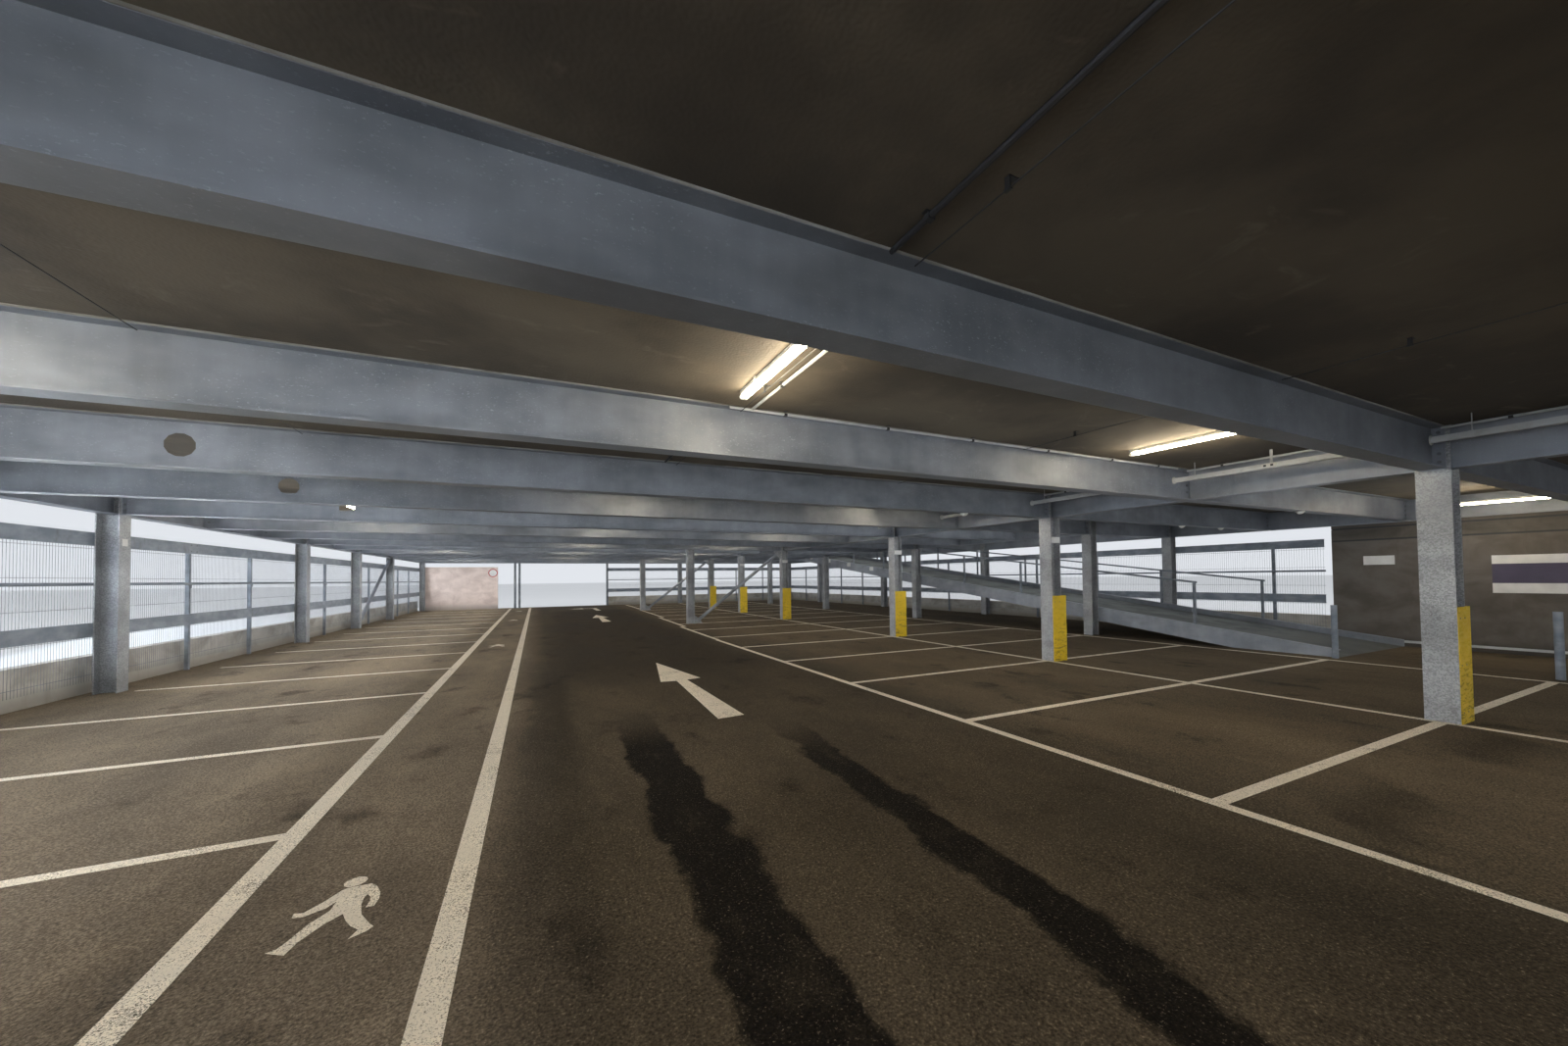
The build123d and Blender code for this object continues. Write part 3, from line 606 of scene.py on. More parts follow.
class Shape:
    """A piece in the making, in metres and in the building's own place."""

    def __init__(self) -> None:
        """Start with nothing."""
        self.mesh = bmesh.new()

    def box(self, one: Sequence[float], other: Sequence[float], bevel: float = 0.0) -> None:
        """Add a box, its edges broken if wanted.

        Args:
            one: A corner.
            other: The corner across from it.
            bevel: Width of the broken edges.
        """
        low, high = Vector([*map(min, one, other)]), Vector([*map(max, one, other)])
        place = Matrix.Translation((low + high) / 2) @ Matrix.Diagonal((*(high - low), 1.0))
        made = bmesh.ops.create_cube(self.mesh, size=1.0, matrix=place)
        if bevel:
            edges = list(dict.fromkeys(edge for vert in made["verts"] for edge in vert.link_edges))
            bmesh.ops.bevel(
                self.mesh, geom=edges, offset=bevel, affect="EDGES", segments=1, profile=0.5, material=-1
            )

    def block(self, at: Flat, half: Flat, low: float, high: float, bevel: float = 0.0) -> None:
        """Add an upright box about a place, with its half sizes."""
        (x, y), (dx, dy) = at, half
        self.box((x - dx, y - dy, low), (x + dx, y + dy, high), bevel)

    def rod(self, start: Point, end: Point, radius: float, sides: int = 6, tip: float | None = None) -> None:
        """Add a round bar or a cone between two points.

        Args:
            start: Middle of the first end.
            end: Middle of the second end.
            radius: Radius of the first end.
            sides: Flats round the bar.
            tip: Radius of the second end, if it differs.
        """
        first, second = Vector(start), Vector(end)
        axis = second - first
        place = Matrix.Translation((first + second) / 2) @ axis.to_track_quat("Z", "Y").to_matrix().to_4x4()
        bmesh.ops.create_cone(
            self.mesh, cap_ends=True, segments=sides, radius1=radius, radius2=radius if tip is None else tip,
            depth=axis.length, matrix=place,
        )

    def dome(self, centre: Point, radius: float, flat: float, sides: int) -> None:
        """Add a flattened cap that hangs from a plane.

        Args:
            centre: Middle of its flat back.
            radius: Radius of the back.
            flat: Height as a share of the radius.
            sides: Flats round the cap.
        """
        place = Matrix.Translation(Vector(centre)) @ Matrix.Diagonal((1, 1, flat, 1))
        made = bmesh.ops.create_uvsphere(
            self.mesh, u_segments=sides, v_segments=sides // 2, radius=radius, matrix=place
        )
        verts = made["verts"]
        around = dict.fromkeys(item for v in verts for item in (*v.link_edges, *v.link_faces))
        cut = bmesh.ops.bisect_plane(
            self.mesh, geom=[*verts, *around], plane_co=Vector(centre), plane_no=Vector((0, 0, 1)),
            clear_outer=True,
        )
        rim = [item for item in cut["geom_cut"] if isinstance(item, bmesh.types.BMEdge)]
        bmesh.ops.edgeloop_fill(self.mesh, edges=rim)

    def sheet(self, outline: Sequence[Flat], top: float, thickness: float = 0.003) -> None:
        """Add a flat plate that lies level.

        Args:
            outline: Its corners, in order.
            top: Height of its upper face.
            thickness: Its thickness.
        """
        face = self.mesh.faces.new([self.mesh.verts.new((x, y, top - thickness)) for x, y in outline])
        face.normal_update()
        if face.normal.z > 0:
            face.normal_flip()
        grown = bmesh.ops.extrude_face_region(self.mesh, geom=[face], use_keep_orig=True)
        self.raise_new(grown["geom"], thickness)

    def raise_new(self, made: Iterable[object], height: float) -> None:
        """Move what an operator has just made up."""
        verts = [item for item in made if isinstance(item, bmesh.types.BMVert)]
        bmesh.ops.translate(self.mesh, verts=verts, vec=(0, 0, height))

    def strip(self, start: Flat, end: Flat, width: float, top: float) -> None:
        """Add a painted stripe between two points of a floor.

        Args:
            start: Middle of its first end.
            end: Middle of its second end.
            width: Its width.
            top: Height of its face.
        """
        first, second = Vector(start), Vector(end)
        side = (second - first).orthogonal().normalized() * (width / 2)
        self.sheet([tuple(c) for c in (first - side, first + side, second + side, second - side)], top)

    def done(self, name: str, piece: Piece, looks: Looks) -> None:
        """Turn the shape into a piece of the building.

        Args:
            name: Name of the piece.
            piece: Its finish, slot and make-up.
            looks: The materials by name.
        """
        if piece.both:
            everything = self.mesh.verts[:] + self.mesh.edges[:] + self.mesh.faces[:]
            self.raise_new(bmesh.ops.duplicate(self.mesh, geom=everything)["geom"], PLAN.storey)
        bmesh.ops.recalc_face_normals(self.mesh, faces=self.mesh.faces[:])
        data = bpy.data.meshes.new(name)
        self.mesh.to_mesh(data)
        self.mesh.free()
        data.polygons.foreach_set("use_smooth", [piece.smooth] * len(data.polygons))
        data.materials.append(looks[piece.look])
        made = bpy.data.objects.new(name, data)
        bpy.context.scene.collection.objects.link(made)
        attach(made, "root")
        if piece.stands_for:
            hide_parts(piece.stands_for)
        log.info("%s: %d faces", name, len(data.polygons))


@dataclass
class Fittings:
    """Family of fittings that adds its bodies to the pieces."""

    shapes: dict[str, Shape]


# Camera and lights
@dataclass
class ViewPoint:
    """Camera at eye height in the aisle, turned towards the ramp side."""

    place: Point = (-5.72, -16.47, 1.78)
    yaw: float = 25.39
    pitch: float = 1.30
    roll: float = 0.665
    focal: float = 531.5
    frame_width: float = 1600.0
    rise: float = 0.0277

    def build(self) -> None:
        """Make the camera and give it to the scene."""
        yaw, pitch, roll = (math.radians(v) for v in (self.yaw, 90 + self.pitch, self.roll))
        data = bpy.data.cameras.new("view_point")
        data.sensor_fit = "HORIZONTAL"
        data.sensor_width = 36.0
        data.lens = self.focal / self.frame_width * data.sensor_width
        data.shift_y = self.rise
        data.clip_start, data.clip_end = 0.05, 900.0
        camera = bpy.data.objects.new("view_point", data)
        turn, tilt = Matrix.Rotation(-yaw, 4, "Z"), Matrix.Rotation(pitch, 4, "X")
        camera.matrix_world = Matrix.Translation(self.place) @ turn @ tilt @ Matrix.Rotation(-roll, 4, "Z")
        bpy.context.scene.collection.objects.link(camera)
        bpy.context.scene.camera = camera


@dataclass(frozen=True)
class SoftPanel:
    """Large soft lamp that the camera doesn't see."""

    name: str
    centre: Point
    size: Flat
    facing: Point
    brightness: float
    colour: Colour = (1.0, 1.0, 1.0)

    def build(self) -> None:
        """Make the lamp."""
        data = bpy.data.lights.new(self.name, "AREA")
        data.shape = "RECTANGLE"
        data.size, data.size_y = self.size
        data.energy = self.brightness * math.pi * self.size[0] * self.size[1]
        data.color = self.colour
        data.cycles.use_multiple_importance_sampling = False
        lamp = bpy.data.objects.new(self.name, data)
        lamp.location = self.centre
        lamp.rotation_euler = Vector(self.facing).to_track_quat("-Z", "Y").to_euler()
        lamp.visible_camera = False
        bpy.context.scene.collection.objects.link(lamp)


@dataclass
class Studio:
    """Pale floor and air, soft light in each storey and from above."""

    ground_reach: float = 400.0
    ground_colour: Colour = tone(236, 237, 238)
    ground_glow: float = 0.5
    air_colour: Colour = tone(226, 230, 236)
    air_tint: Colour = (0.92, 0.96, 1.0)
    air_light: float = 0.42
    warm: Colour = (1.0, 0.965, 0.91)
    cool: Colour = (0.9, 0.95, 1.0)
    glow: Colour = (1.0, 0.87, 0.66)
    span: float = 22.0
    length: float = 38.0
    stations: tuple[float, ...] = (-20.2, -13.4, -6.7, 2.9, 12.5)
    glow_spots: tuple[Flat, ...] = ((-4.17, -13.2), (1.03, -13.2), (10.2, -13.45))
    bounces: int = 2

    def ground(self) -> None:
        """Lay the plain pale floor under the building."""
        g = Graph("studio_floor")
        cloud = g.band(g.noise(0.05, 2), 0.3, 0.7, (0.98, 1.02))
        plain = g.node("BsdfPrincipled", {0: g.shade(self.ground_colour, cloud), "Roughness": 0.9})
        share = g.times(g.node("LightPath", {}).outputs["Is Camera Ray"], self.ground_glow)
        g.close(g.node("MixShader", {0: share, 1: plain, 2: g.node("Emission", {0: self.air_colour})}))
        mesh = bmesh.new()
        below = Matrix.Translation((0, 0, -0.004))
        bmesh.ops.create_grid(mesh, x_segments=1, y_segments=1, size=self.ground_reach, matrix=below)
        data = bpy.data.meshes.new("studio_floor")
        mesh.to_mesh(data)
        mesh.free()
        data.materials.append(g.owner)
        floor = bpy.data.objects.new("studio_floor", data)
        bpy.context.scene.collection.objects.link(floor)

    def air(self) -> None:
        """Give the world a plain light and a pale look behind the building."""
        world = bpy.data.worlds.new("studio_air")
        bpy.context.scene.world = world
        g = Graph(world)
        world.cycles.sampling_method = "NONE"
        rays = g.node("LightPath", {}).outputs
        seen = g.calc("MAXIMUM", rays["Is Camera Ray"], rays["Is Glossy Ray"])
        seen = g.calc("MAXIMUM", seen, rays["Is Transmission Ray"])
        light = g.node("Background", {"Color": self.air_tint, "Strength": self.air_light})
        g.close(g.node("MixShader", {0: seen, 1: light, 2: g.node("Background", {0: self.air_colour})}))

    def storey_lamps(self, level: int) -> list[SoftPanel]:
        """Soft lamps of one storey.

        Args:
            level: The storey.

        Returns:
            The lamps.
        """
        low, high = PLAN.floor_z(level), PLAN.beam_z(level)
        whole, tall, cool = (self.span, self.length), (self.length, 1.8), self.cool
        made = [
            SoftPanel(f"over_floor_{level}", (0, 0, low + 0.02), whole, (0, 0, 1), 0.085, self.warm),
            SoftPanel(f"under_beams_{level}", (0, 0, high - 0.02), whole, (0, 0, -1), 0.25),
        ]
        for i, y in enumerate(self.stations):
            size = (self.span, 1.4)
            made.append(SoftPanel(f"aisle_{level}_{i}", (0, y, low + 1.9), size, (0, 1, 0.3), 0.9, cool))
        return made + [
            SoftPanel(f"near_{level}", (-8.4, -19.1, low + 1.9), (6.0, 1.4), (0.1, 1, 0.3), 2.6, cool),
            SoftPanel(f"left_{level}", (-11.42, 0, low + 1.75), (self.length, 1.7), (1, 0, 0.12), 2.0, cool),
            SoftPanel(f"bays_{level}", (-7.6, 0, low + 1.7), tall, (-1, 0, -0.1), 1.5, cool),
        ]

    def lamps(self) -> list[SoftPanel]:
        """All soft lamps, with the glow of the lit ones and the daylight outside.

        Returns:
            The lamps.
        """
        made = [panel for level in range(PLAN.storeys) for panel in self.storey_lamps(level)]
        glow_z, wash_z = PLAN.soffit(0) - 0.3, PLAN.beam_z(0) + 0.05
        for i, (x, y) in enumerate(self.glow_spots):
            made.append(SoftPanel(f"glow_{i}", (x, y, glow_z), (0.9, 1.7), (0, 0, 1), 2.3, self.glow))
        return made + [
            SoftPanel("wash", (-9.4, -11.2, wash_z), (2.4, 0.5), (0, 1, 0.3), 1.6, (1.0, 0.9, 0.76)),
            SoftPanel("day", (-16, -3, 3.9), (46, 7.4), (1, 0.3, 0), 2.6, (0.74, 0.86, 1.0)),
            SoftPanel("sky", (-6, -10, 32), (64, 64), (0.15, 0.25, -1), 0.9),
        ]

    def build(self) -> None:
        """Set up floor, air and lamps."""
        self.ground()
        self.air()
        for panel in self.lamps():
            panel.build()
        scene = bpy.context.scene
        scene.view_settings.view_transform = "Standard"
        scene.cycles.use_light_tree = False
        scene.cycles.max_bounces = self.bounces
        scene.cycles.diffuse_bounces = scene.cycles.glossy_bounces = self.bounces - 1


# Markings
@dataclass
class FloorMarkings(Fittings):
    """White lines, arrows and walking figures on every parking surface."""

    line: float = 0.1
    edge_line: float = 0.13
    raise_by: float = 0.0012
    overlap: float = 0.0005
    end_gap: float = 0.25
    walk: Flat = (-7.14, -6.09)
    bay_back: float = -11.35
    front: tuple[tuple[float, float, float, float], ...] = (
        (-1.37, -19.0, -1.36, -3.05), (-1.33, -3.05, -1.24, 1.3), (-1.1, 1.25, -0.96, 6.2),
        (-0.78, 6.15, -0.66, 12.4), (-0.52, 12.3, -0.44, 18.9),
    )
    backs: Flat = (3.08, 7.55)
    arrow: tuple[Flat, ...] = (
        (0.0, 0.0), (0.333, -1.92), (0.094, -1.982), (0.133, -4.46), (-0.201, -4.493), (-0.08, -1.998),
        (-0.327, -1.954),
    )
    arrow_spots: tuple[Flat, ...] = ((-3.608, -6.113), (-3.2, 9.6))
    bent_arrow: tuple[Flat, ...] = (
        (0.5, -3.6), (0.72, -3.6), (0.72, -0.95), (0.0, -0.95), (0.0, -0.62), (-0.75, -1.07), (0.0, -1.52),
        (0.0, -1.19), (0.5, -1.19),
    )
    bent_spots: tuple[Flat, ...] = ((-3.3, 17.0),)
    figure: tuple[Flat, ...] = (
        (-0.205, -0.245), (-0.17, -0.235), (-0.152, -0.2), (-0.11, -0.08), (-0.05, 0.01), (-0.048, 0.09),
        (-0.076, 0.045), (-0.15, 0.008), (-0.2, 0.02), (-0.205, 0.06), (-0.165, 0.045), (-0.105, 0.115),
        (-0.05, 0.205), (-0.022, 0.214), (0.02, 0.21), (0.072, 0.208), (0.106, 0.165), (0.135, 0.09),
        (0.144, 0.027), (0.138, -0.036), (0.102, -0.036), (0.107, 0.02), (0.099, 0.066), (0.079, 0.099),
        (0.071, 0.064), (0.075, 0.006), (0.1, -0.095), (0.153, -0.194), (0.179, -0.232), (0.161, -0.259),
        (0.098, -0.293), (0.12, -0.23), (0.079, -0.182), (0.044, -0.12), (0.016, -0.05), (-0.04, -0.108),
        (-0.102, -0.214), (-0.124, -0.298), (-0.16, -0.274),
    )
    figure_spots: tuple[Flat, ...] = ((-6.602, -13.122), (-6.62, -1.3), (-6.6, 8.2), (-6.6, 15.4))
    head: Flat = (-0.012, 0.268)
    head_radii: Flat = (0.052, 0.05)

    def lines(self, shape: Shape, top: float) -> None:
        """Paint the lines of one surface.

        Args:
            shape: The shape that takes them.
            top: Height of the paint.
        """
        near, far = PLAN.y(0) + self.end_gap, PLAN.y(16) - self.end_gap
        for x in self.walk:
            shape.strip((x, near), (x, far), self.edge_line, top)
        for x0, y0, x1, y1 in self.front:
            shape.strip((x0, y0), (x1, y1), self.line, top)
        for x in self.backs:
            shape.strip((x, near), (x, far), self.line, top)
        for frame in range(PLAN.frames):
            y = min(max(PLAN.y(frame), near + self.line / 2), far - self.line / 2)
            front = next((run[0] for run in self.front if run[1] <= y <= run[3]), self.front[0][0])
            for start, end in ((self.bay_back, self.walk[0]), (front, self.backs[1])):
                shape.strip((start, y), (end, y), self.line, top - self.overlap)

    def signs(self, shape: Shape, top: float) -> None:
        """Paint the arrows and figures of one surface.

        Args:
            shape: The shape that takes them.
            top: Height of the paint.
        """
        turns = [i * math.tau / 12 for i in range(12)]
        (hx, hy), (rx, ry) = self.head, self.head_radii
        head = [(hx + math.cos(turn) * rx, hy + math.sin(turn) * ry) for turn in turns]
        outlines = self.arrow, self.bent_arrow, self.figure, head
        places = self.arrow_spots, self.bent_spots, self.figure_spots, self.figure_spots
        for outline, spots in zip(outlines, places):
            for x, y in spots:
                shape.sheet([(x + dx, y + dy) for dx, dy in outline], top)

    def build(self) -> None:
        """Paint all surfaces."""
        for level in range(PLAN.storeys + 1):
            top = PLAN.floor_z(level) + self.raise_by
            self.lines(self.shapes[f"floor_lines_{level}"], top)
            self.signs(self.shapes[f"floor_signs_{level}"], top)


# Steel details
@dataclass
class BeamDetails(Fittings):
    """Bolts, fin plates and bedding strips of the beams."""

    head_radius: float = 0.018
    head_height: float = 0.012
    plate: float = 0.015
    fin_reach: float = 0.115
    fin_thickness: float = 0.01
    fin_half_height: float = 0.16
    fin_bolt: float = 0.08
    bolt_offset: float = 0.055
    bolt_rows: tuple[float, ...] = (0.07, 0.16, 0.3, 0.39)
    fin_rows: tuple[float, ...] = (-0.1, 0.0, 0.1)
    fins_right: tuple[int, ...] = (1, 3, 4, 15)
    fins_ramp: tuple[int, ...] = (6, 7, 9, 10, 12, 13)
    strip_height: float = 0.012
    strip_proud: float = 0.004
    strip_gap: float = 0.13

    def bolt(self, foot: Point, way: Flat) -> None:
        """Add one bolt head that stands out from its foot."""
        tip = (foot[0] + way[0] * self.head_height, foot[1] + way[1] * self.head_height, foot[2])
        self.shapes["beam_bolts"].rod(foot, tip, self.head_radius)

    def heads(self) -> None:
        """Screw bolt heads on every end plate, by line, side and frames."""
        p = PLAN
        plain_right = tuple(f for f in p.right_frames if f not in p.ramp_frames)
        ramp_ends = (p.ramp_frames[0], p.ramp_frames[-1])
        for x, side, frames in (
            (p.x_left, 1, p.spine_frames), (p.x_spine, -1, p.spine_frames), (p.x_spine, 1, p.spine_frames),
            (p.x_right, -1, plain_right), (p.x_ramp, -1, p.ramp_frames), (p.x_ramp, 1, ramp_ends),
            (p.x_right, -1, ramp_ends),
        ):
            face = x + side * (p.column_face + self.plate)
            for frame in frames:
                for row in self.bolt_rows:
                    for dy in (-self.bolt_offset, self.bolt_offset):
                        self.bolt((face, p.y(frame) + dy, p.beam_z(0) + row), (side, 0))

    def fins(self) -> None:
        """Bolt the coped beams to plates on the beams that carry them."""
        p = PLAN
        plain = [f for f in range(p.frames) if f not in p.spine_frames]
        middle, half, tall = p.beam_z(0) + p.beam_depth / 2, p.beam_web / 2, self.fin_half_height
        for x, side, frames in (
            (p.x_left, 1, plain), (p.x_spine, -1, plain), (p.x_spine, 1, plain),
            (p.x_right, -1, self.fins_right), (p.x_ramp, -1, self.fins_ramp),
        ):
            root, bolt_x = x + side * half, x + side * self.fin_bolt
            for frame in frames:
                y = p.y(frame) + half
                back, end = y + self.fin_thickness, root + side * self.fin_reach
                self.shapes["fin_plates"].box((root, y, middle - tall), (end, back, middle + tall))
                for row in self.fin_rows:
                    self.bolt((bolt_x, back, middle + row), (0, 1))
                    self.bolt((bolt_x, p.y(frame) - half, middle + row), (0, -1))

    def strips(self) -> None:
        """Lay bedding strips between the aisle beams and the soffit."""
        top = PLAN.soffit(0)
        left, right = PLAN.x_left + self.strip_gap, PLAN.x_spine - self.strip_gap
        for frame in range(PLAN.frames):
            for side in (-1, 1):
                y = PLAN.y(frame) + side * PLAN.beam_width / 2
                far = (right, y + side * self.strip_proud, top)
                self.shapes["bedding_strips"].box((left, y, top - self.strip_height), far)

    def build(self) -> None:
        """Make all steel details."""
        self.heads()
        self.fins()
        self.strips()


@dataclass
class GuardFixings(Fittings):
    """Screws of the yellow column guards."""

    levels: tuple[float, ...] = (0.12, 0.62, 1.12)
    aside: float = 0.07
    guard: float = 0.008
    screw: float = 0.009
    height: float = 0.005

    def build(self) -> None:
        """Make the screws."""
        for frame in PLAN.spine_frames[1:-1]:
            y = PLAN.y(frame) - PLAN.column_face - self.guard
            for z in (PLAN.floor + rise for rise in self.levels):
                for x in (PLAN.x_spine - self.aside, PLAN.x_spine + self.aside):
                    tip = (x, y - self.height, z)
                    self.shapes["guard_screws"].rod((x, y, z), tip, self.screw, 8, self.screw * 0.6)


# Services under the deck
@dataclass(frozen=True)
class Service:
    """Straight service along the aisle, clipped in every module or in each second one."""

    run: Run
    x: float
    drop: float
    clips: tuple[float, ...]
    first: int = 0
    step: int = 1


@dataclass
class SoffitServices(Fittings):
    """Conduits, rods and wires under the deck, with their clips and eyelets."""

    along: tuple[Service, ...] = (
        Service(Run.WIRE, -4.06, 0.05, (0.35, 0.75)),
        Service(Run.ROD, -4.2, 0.016, (0.12, 0.88), 1, 2),
        Service(Run.CONDUIT, -3.95, 0.02, (0.3, 0.7), 0, 2),
        Service(Run.WIRE, -7.85, 0.05, (0.4,)),
        Service(Run.WIRE, -0.45, 0.05, (0.3, 0.7)),
        Service(Run.CONDUIT, 2.98, 0.04, (0.2, 0.8)),
    )
    across_frames: tuple[int, ...] = (3, 7, 11)
    across_ends: Flat = (-4.17, 2.7)
    across_drop: float = 0.03
    beam_gap: float = 0.02
    across_clips: tuple[float, ...] = (0.08, 0.25, 0.42, 0.6, 0.78, 0.93)
    clip_half: float = 0.015
    clip_wall: float = 0.004
    clip_ear: float = 0.012
    eyelet: Flat = (0.004, 0.012)
    eyelet_arm: float = 0.05

    def clip(self, run: Run, at: Vector, along_x: bool) -> None:
        """Hold a service to the soffit at one place.

        Args:
            run: How the service is carried.
            at: The place.
            along_x: Whether the service runs across the aisle.
        """
        shape, top, place = self.shapes["soffit_clips"], PLAN.soffit(0), (at.x, at.y)
        grip = run.value + self.clip_wall
        turn = 1 if along_x else -1
        shape.block(place, (self.clip_half, grip)[::turn], at.z - grip, at.z + grip * 0.5)
        if run is Run.WIRE:
            thin, deep = self.eyelet
            shape.block(place, self.eyelet, at.z, top)
            shape.box((at.x - thin, at.y - deep, top - thin), (at.x + self.eyelet_arm, at.y + deep, top))
        else:
            shape.block(place, (self.clip_half, grip + self.clip_ear)[::turn], top - self.clip_wall, top)

    def carry(self, run: Run, start: Point, end: Point, clips: Sequence[float]) -> None:
        """Run one service and clip it.

        Args:
            run: How it is carried.
            start: Its first end.
            end: Its second end.
            clips: Places of its clips, as shares of its length.
        """
        tubes = self.shapes["soffit_conduits" if run is Run.CONDUIT else "soffit_wires"]
        tubes.rod(start, end, run.value, 5 if run is Run.WIRE else 8)
        for share in clips:
            self.clip(run, Vector(start).lerp(Vector(end), share), start[1] == end[1])

    def build(self) -> None:
        """Run all services under the deck."""
        soffit, half = PLAN.soffit(0), PLAN.beam_width / 2
        for item in self.along:
            z = soffit - item.drop
            for y0, y1 in PLAN.modules(half)[item.first :: item.step]:
                self.carry(item.run, (item.x, y0, z), (item.x, y1, z), item.clips)
        for frame in self.across_frames:
            y = PLAN.y(frame) - half - self.beam_gap
            ends = ((x, y, soffit - self.across_drop) for x in self.across_ends)
            self.carry(Run.CONDUIT, *ends, self.across_clips)


@dataclass
class Lamps(Fittings):
    """Soffit lamps: a tray, an opal cover, end caps and fixing straps."""

    rows: tuple[tuple[float, int, int], ...] = ((-9.02, 2, 4), (-4.17, 0, 2), (1.03, 0, 2))
    half_length: float = 0.75
    tray_half: float = 0.03
    tray_height: float = 0.04
    cover_half: float = 0.034
    cover_height: float = 0.03
    cap_half: Flat = (0.037, 0.0225)
    cap_drop: float = 0.034
    strap_half: Flat = (0.042, 0.012)
    strap_place: float = 0.55
    lap: float = 0.002
    bevels: tuple[float, ...] = (0.006, 0.01, 0.003, 0.012)
    ramp_side: Flat = (10.2, -13.45)
    ramp_side_drop: float = 0.25
    hanger: float = 0.005
    hanger_places: Flat = (-0.5, 0.5)

    def lamp(self, at: Flat, top: float) -> None:
        """Make one lamp.

        Args:
            at: Its middle across and along the aisle.
            top: Height of its back.
        """
        trays, (x, y) = self.shapes["lamp_trays"], at
        half, cap, low = self.half_length, self.cap_half[1], top - self.tray_height
        tray_bevel, cap_bevel, strap_bevel, cover_bevel = self.bevels
        trays.block(at, (self.tray_half, half), low, top, tray_bevel)
        for side in (-1, 1):
            end, strap = ((x, y + side * place) for place in (half - cap, half * self.strap_place))
            trays.block(end, self.cap_half, low - self.cap_drop, low + self.lap, cap_bevel)
            trays.block(strap, self.strap_half, low + self.strap_half[1], top - self.lap / 2, strap_bevel)
        cover = (self.cover_half, half - 2 * cap)
        self.shapes["lamp_covers"].block(at, cover, low - self.cover_height, low, cover_bevel)

    def build(self) -> None:
        """Make all lamps and the hangers of the one beside the ramp."""
        top = PLAN.soffit(0)
        for x, first, step in self.rows:
            for module in range(first, PLAN.frames - 1, step):
                self.lamp((x, PLAN.y(module + 0.5)), top)
        x, y = self.ramp_side
        low = top - self.ramp_side_drop
        self.lamp(self.ramp_side, low)
        for dy in self.hanger_places:
            self.shapes["lamp_hangers"].rod((x, y + dy, low), (x, y + dy, top), self.hanger)


@dataclass
class TrunkingFittings(Fittings):
    """End discs, straps, socket boxes and joint covers of the trunking."""

    x: float = 2.63
    half: float = 0.03
    drop: float = 0.18
    gap: float = 0.1075
    disc: float = 0.052
    disc_half: float = 0.004
    straps: tuple[float, ...] = (0.12, 0.88)
    strap_size: Flat = (0.015, 0.003)
    joints: tuple[float, ...] = (0.36, 0.66)
    joint_size: Flat = (0.04, 0.002)
    hanger: float = 0.005
    box_half: float = 0.075
    box_depth: float = 0.022
    box_inset: float = 0.004
    sockets: Flat = (-0.035, 0.035)
    socket_half: Flat = (0.0015, 0.014)
    socket_proud: float = 0.0005
    socket_inset: float = 0.018

    def build(self) -> None:
        """Make the fittings of each module."""
        straps, boxes = self.shapes["trunking_straps"], self.shapes["trunking_boxes"]
        x, half, soffit = self.x, self.half, PLAN.soffit(0)
        side, top = x - half, soffit - self.drop
        low = top - 2 * half
        for module, (y0, y1) in enumerate(PLAN.modules(self.gap)):
            for end in (y0, y1):
                ends = ((x, end + way * self.disc_half, low + half) for way in (-1, 1))
                boxes.rod(*ends, self.disc, 14)
            for shares, size in ((self.straps, self.strap_size), (self.joints, self.joint_size)):
                reach, proud = size
                for share in shares:
                    place = (x, y0 + (y1 - y0) * share)
                    straps.block(place, (half + proud, reach), low - proud, top + proud)
            for share in self.straps:
                y = y0 + (y1 - y0) * share
                straps.rod((x, y, top), (x, y, soffit), self.hanger)
            if module % 2 == 0:
                y, depth, inset = (y0 + y1) / 2, self.box_depth / 2, self.box_inset
                place, half_size = (side - depth, y), (depth, self.box_half)
                boxes.block(place, half_size, low + inset, top - inset, self.strap_size[1])
                faces, inset = self.shapes["socket_faces"], self.socket_inset
                for dy in self.sockets:
                    place = (side - self.box_depth - self.socket_proud, y + dy)
                    faces.block(place, self.socket_half, low + inset, top - inset)


@dataclass
class SoffitDomes(Fittings):
    """Round covers under the beams, each with its ring."""

    spots: tuple[Flat, ...] = ((6.72, -12.0), (1.05, -9.6), (7.68, -9.6), (9.32, -9.6))
    radius: float = 0.065
    ring: float = 0.012
    dome_share: float = 0.82
    dome_flat: float = 0.72
    sides: int = 20

    def build(self) -> None:
        """Make the domes."""
        z, shape = PLAN.beam_z(0), self.shapes["dome_covers"]
        for x, y in self.spots:
            foot = (x, y, z - self.ring)
            shape.rod(foot, (x, y, z), self.radius, self.sides)
            shape.dome(foot, self.radius * self.dome_share, self.dome_flat, self.sides)


# Sides
@dataclass(frozen=True)
class Stretch:
    """Closed stretch of one side on one level."""

    side: Side
    level: int
    start: float
    end: float
    faces: Flat = (11.747, 19.327)

    def at(self, along: float, out: float, rise: float) -> Point:
        """Point on the side.

        Args:
            along: Place along it.
            out: Distance outwards from the columns.
            rise: Height above the floor.

        Returns:
            The point.
        """
        (x, y), z = self.side.value, PLAN.floor_z(self.level) + rise
        if x:
            return x * (self.faces[0] + out), along, z
        return along, y * (self.faces[1] + out), z


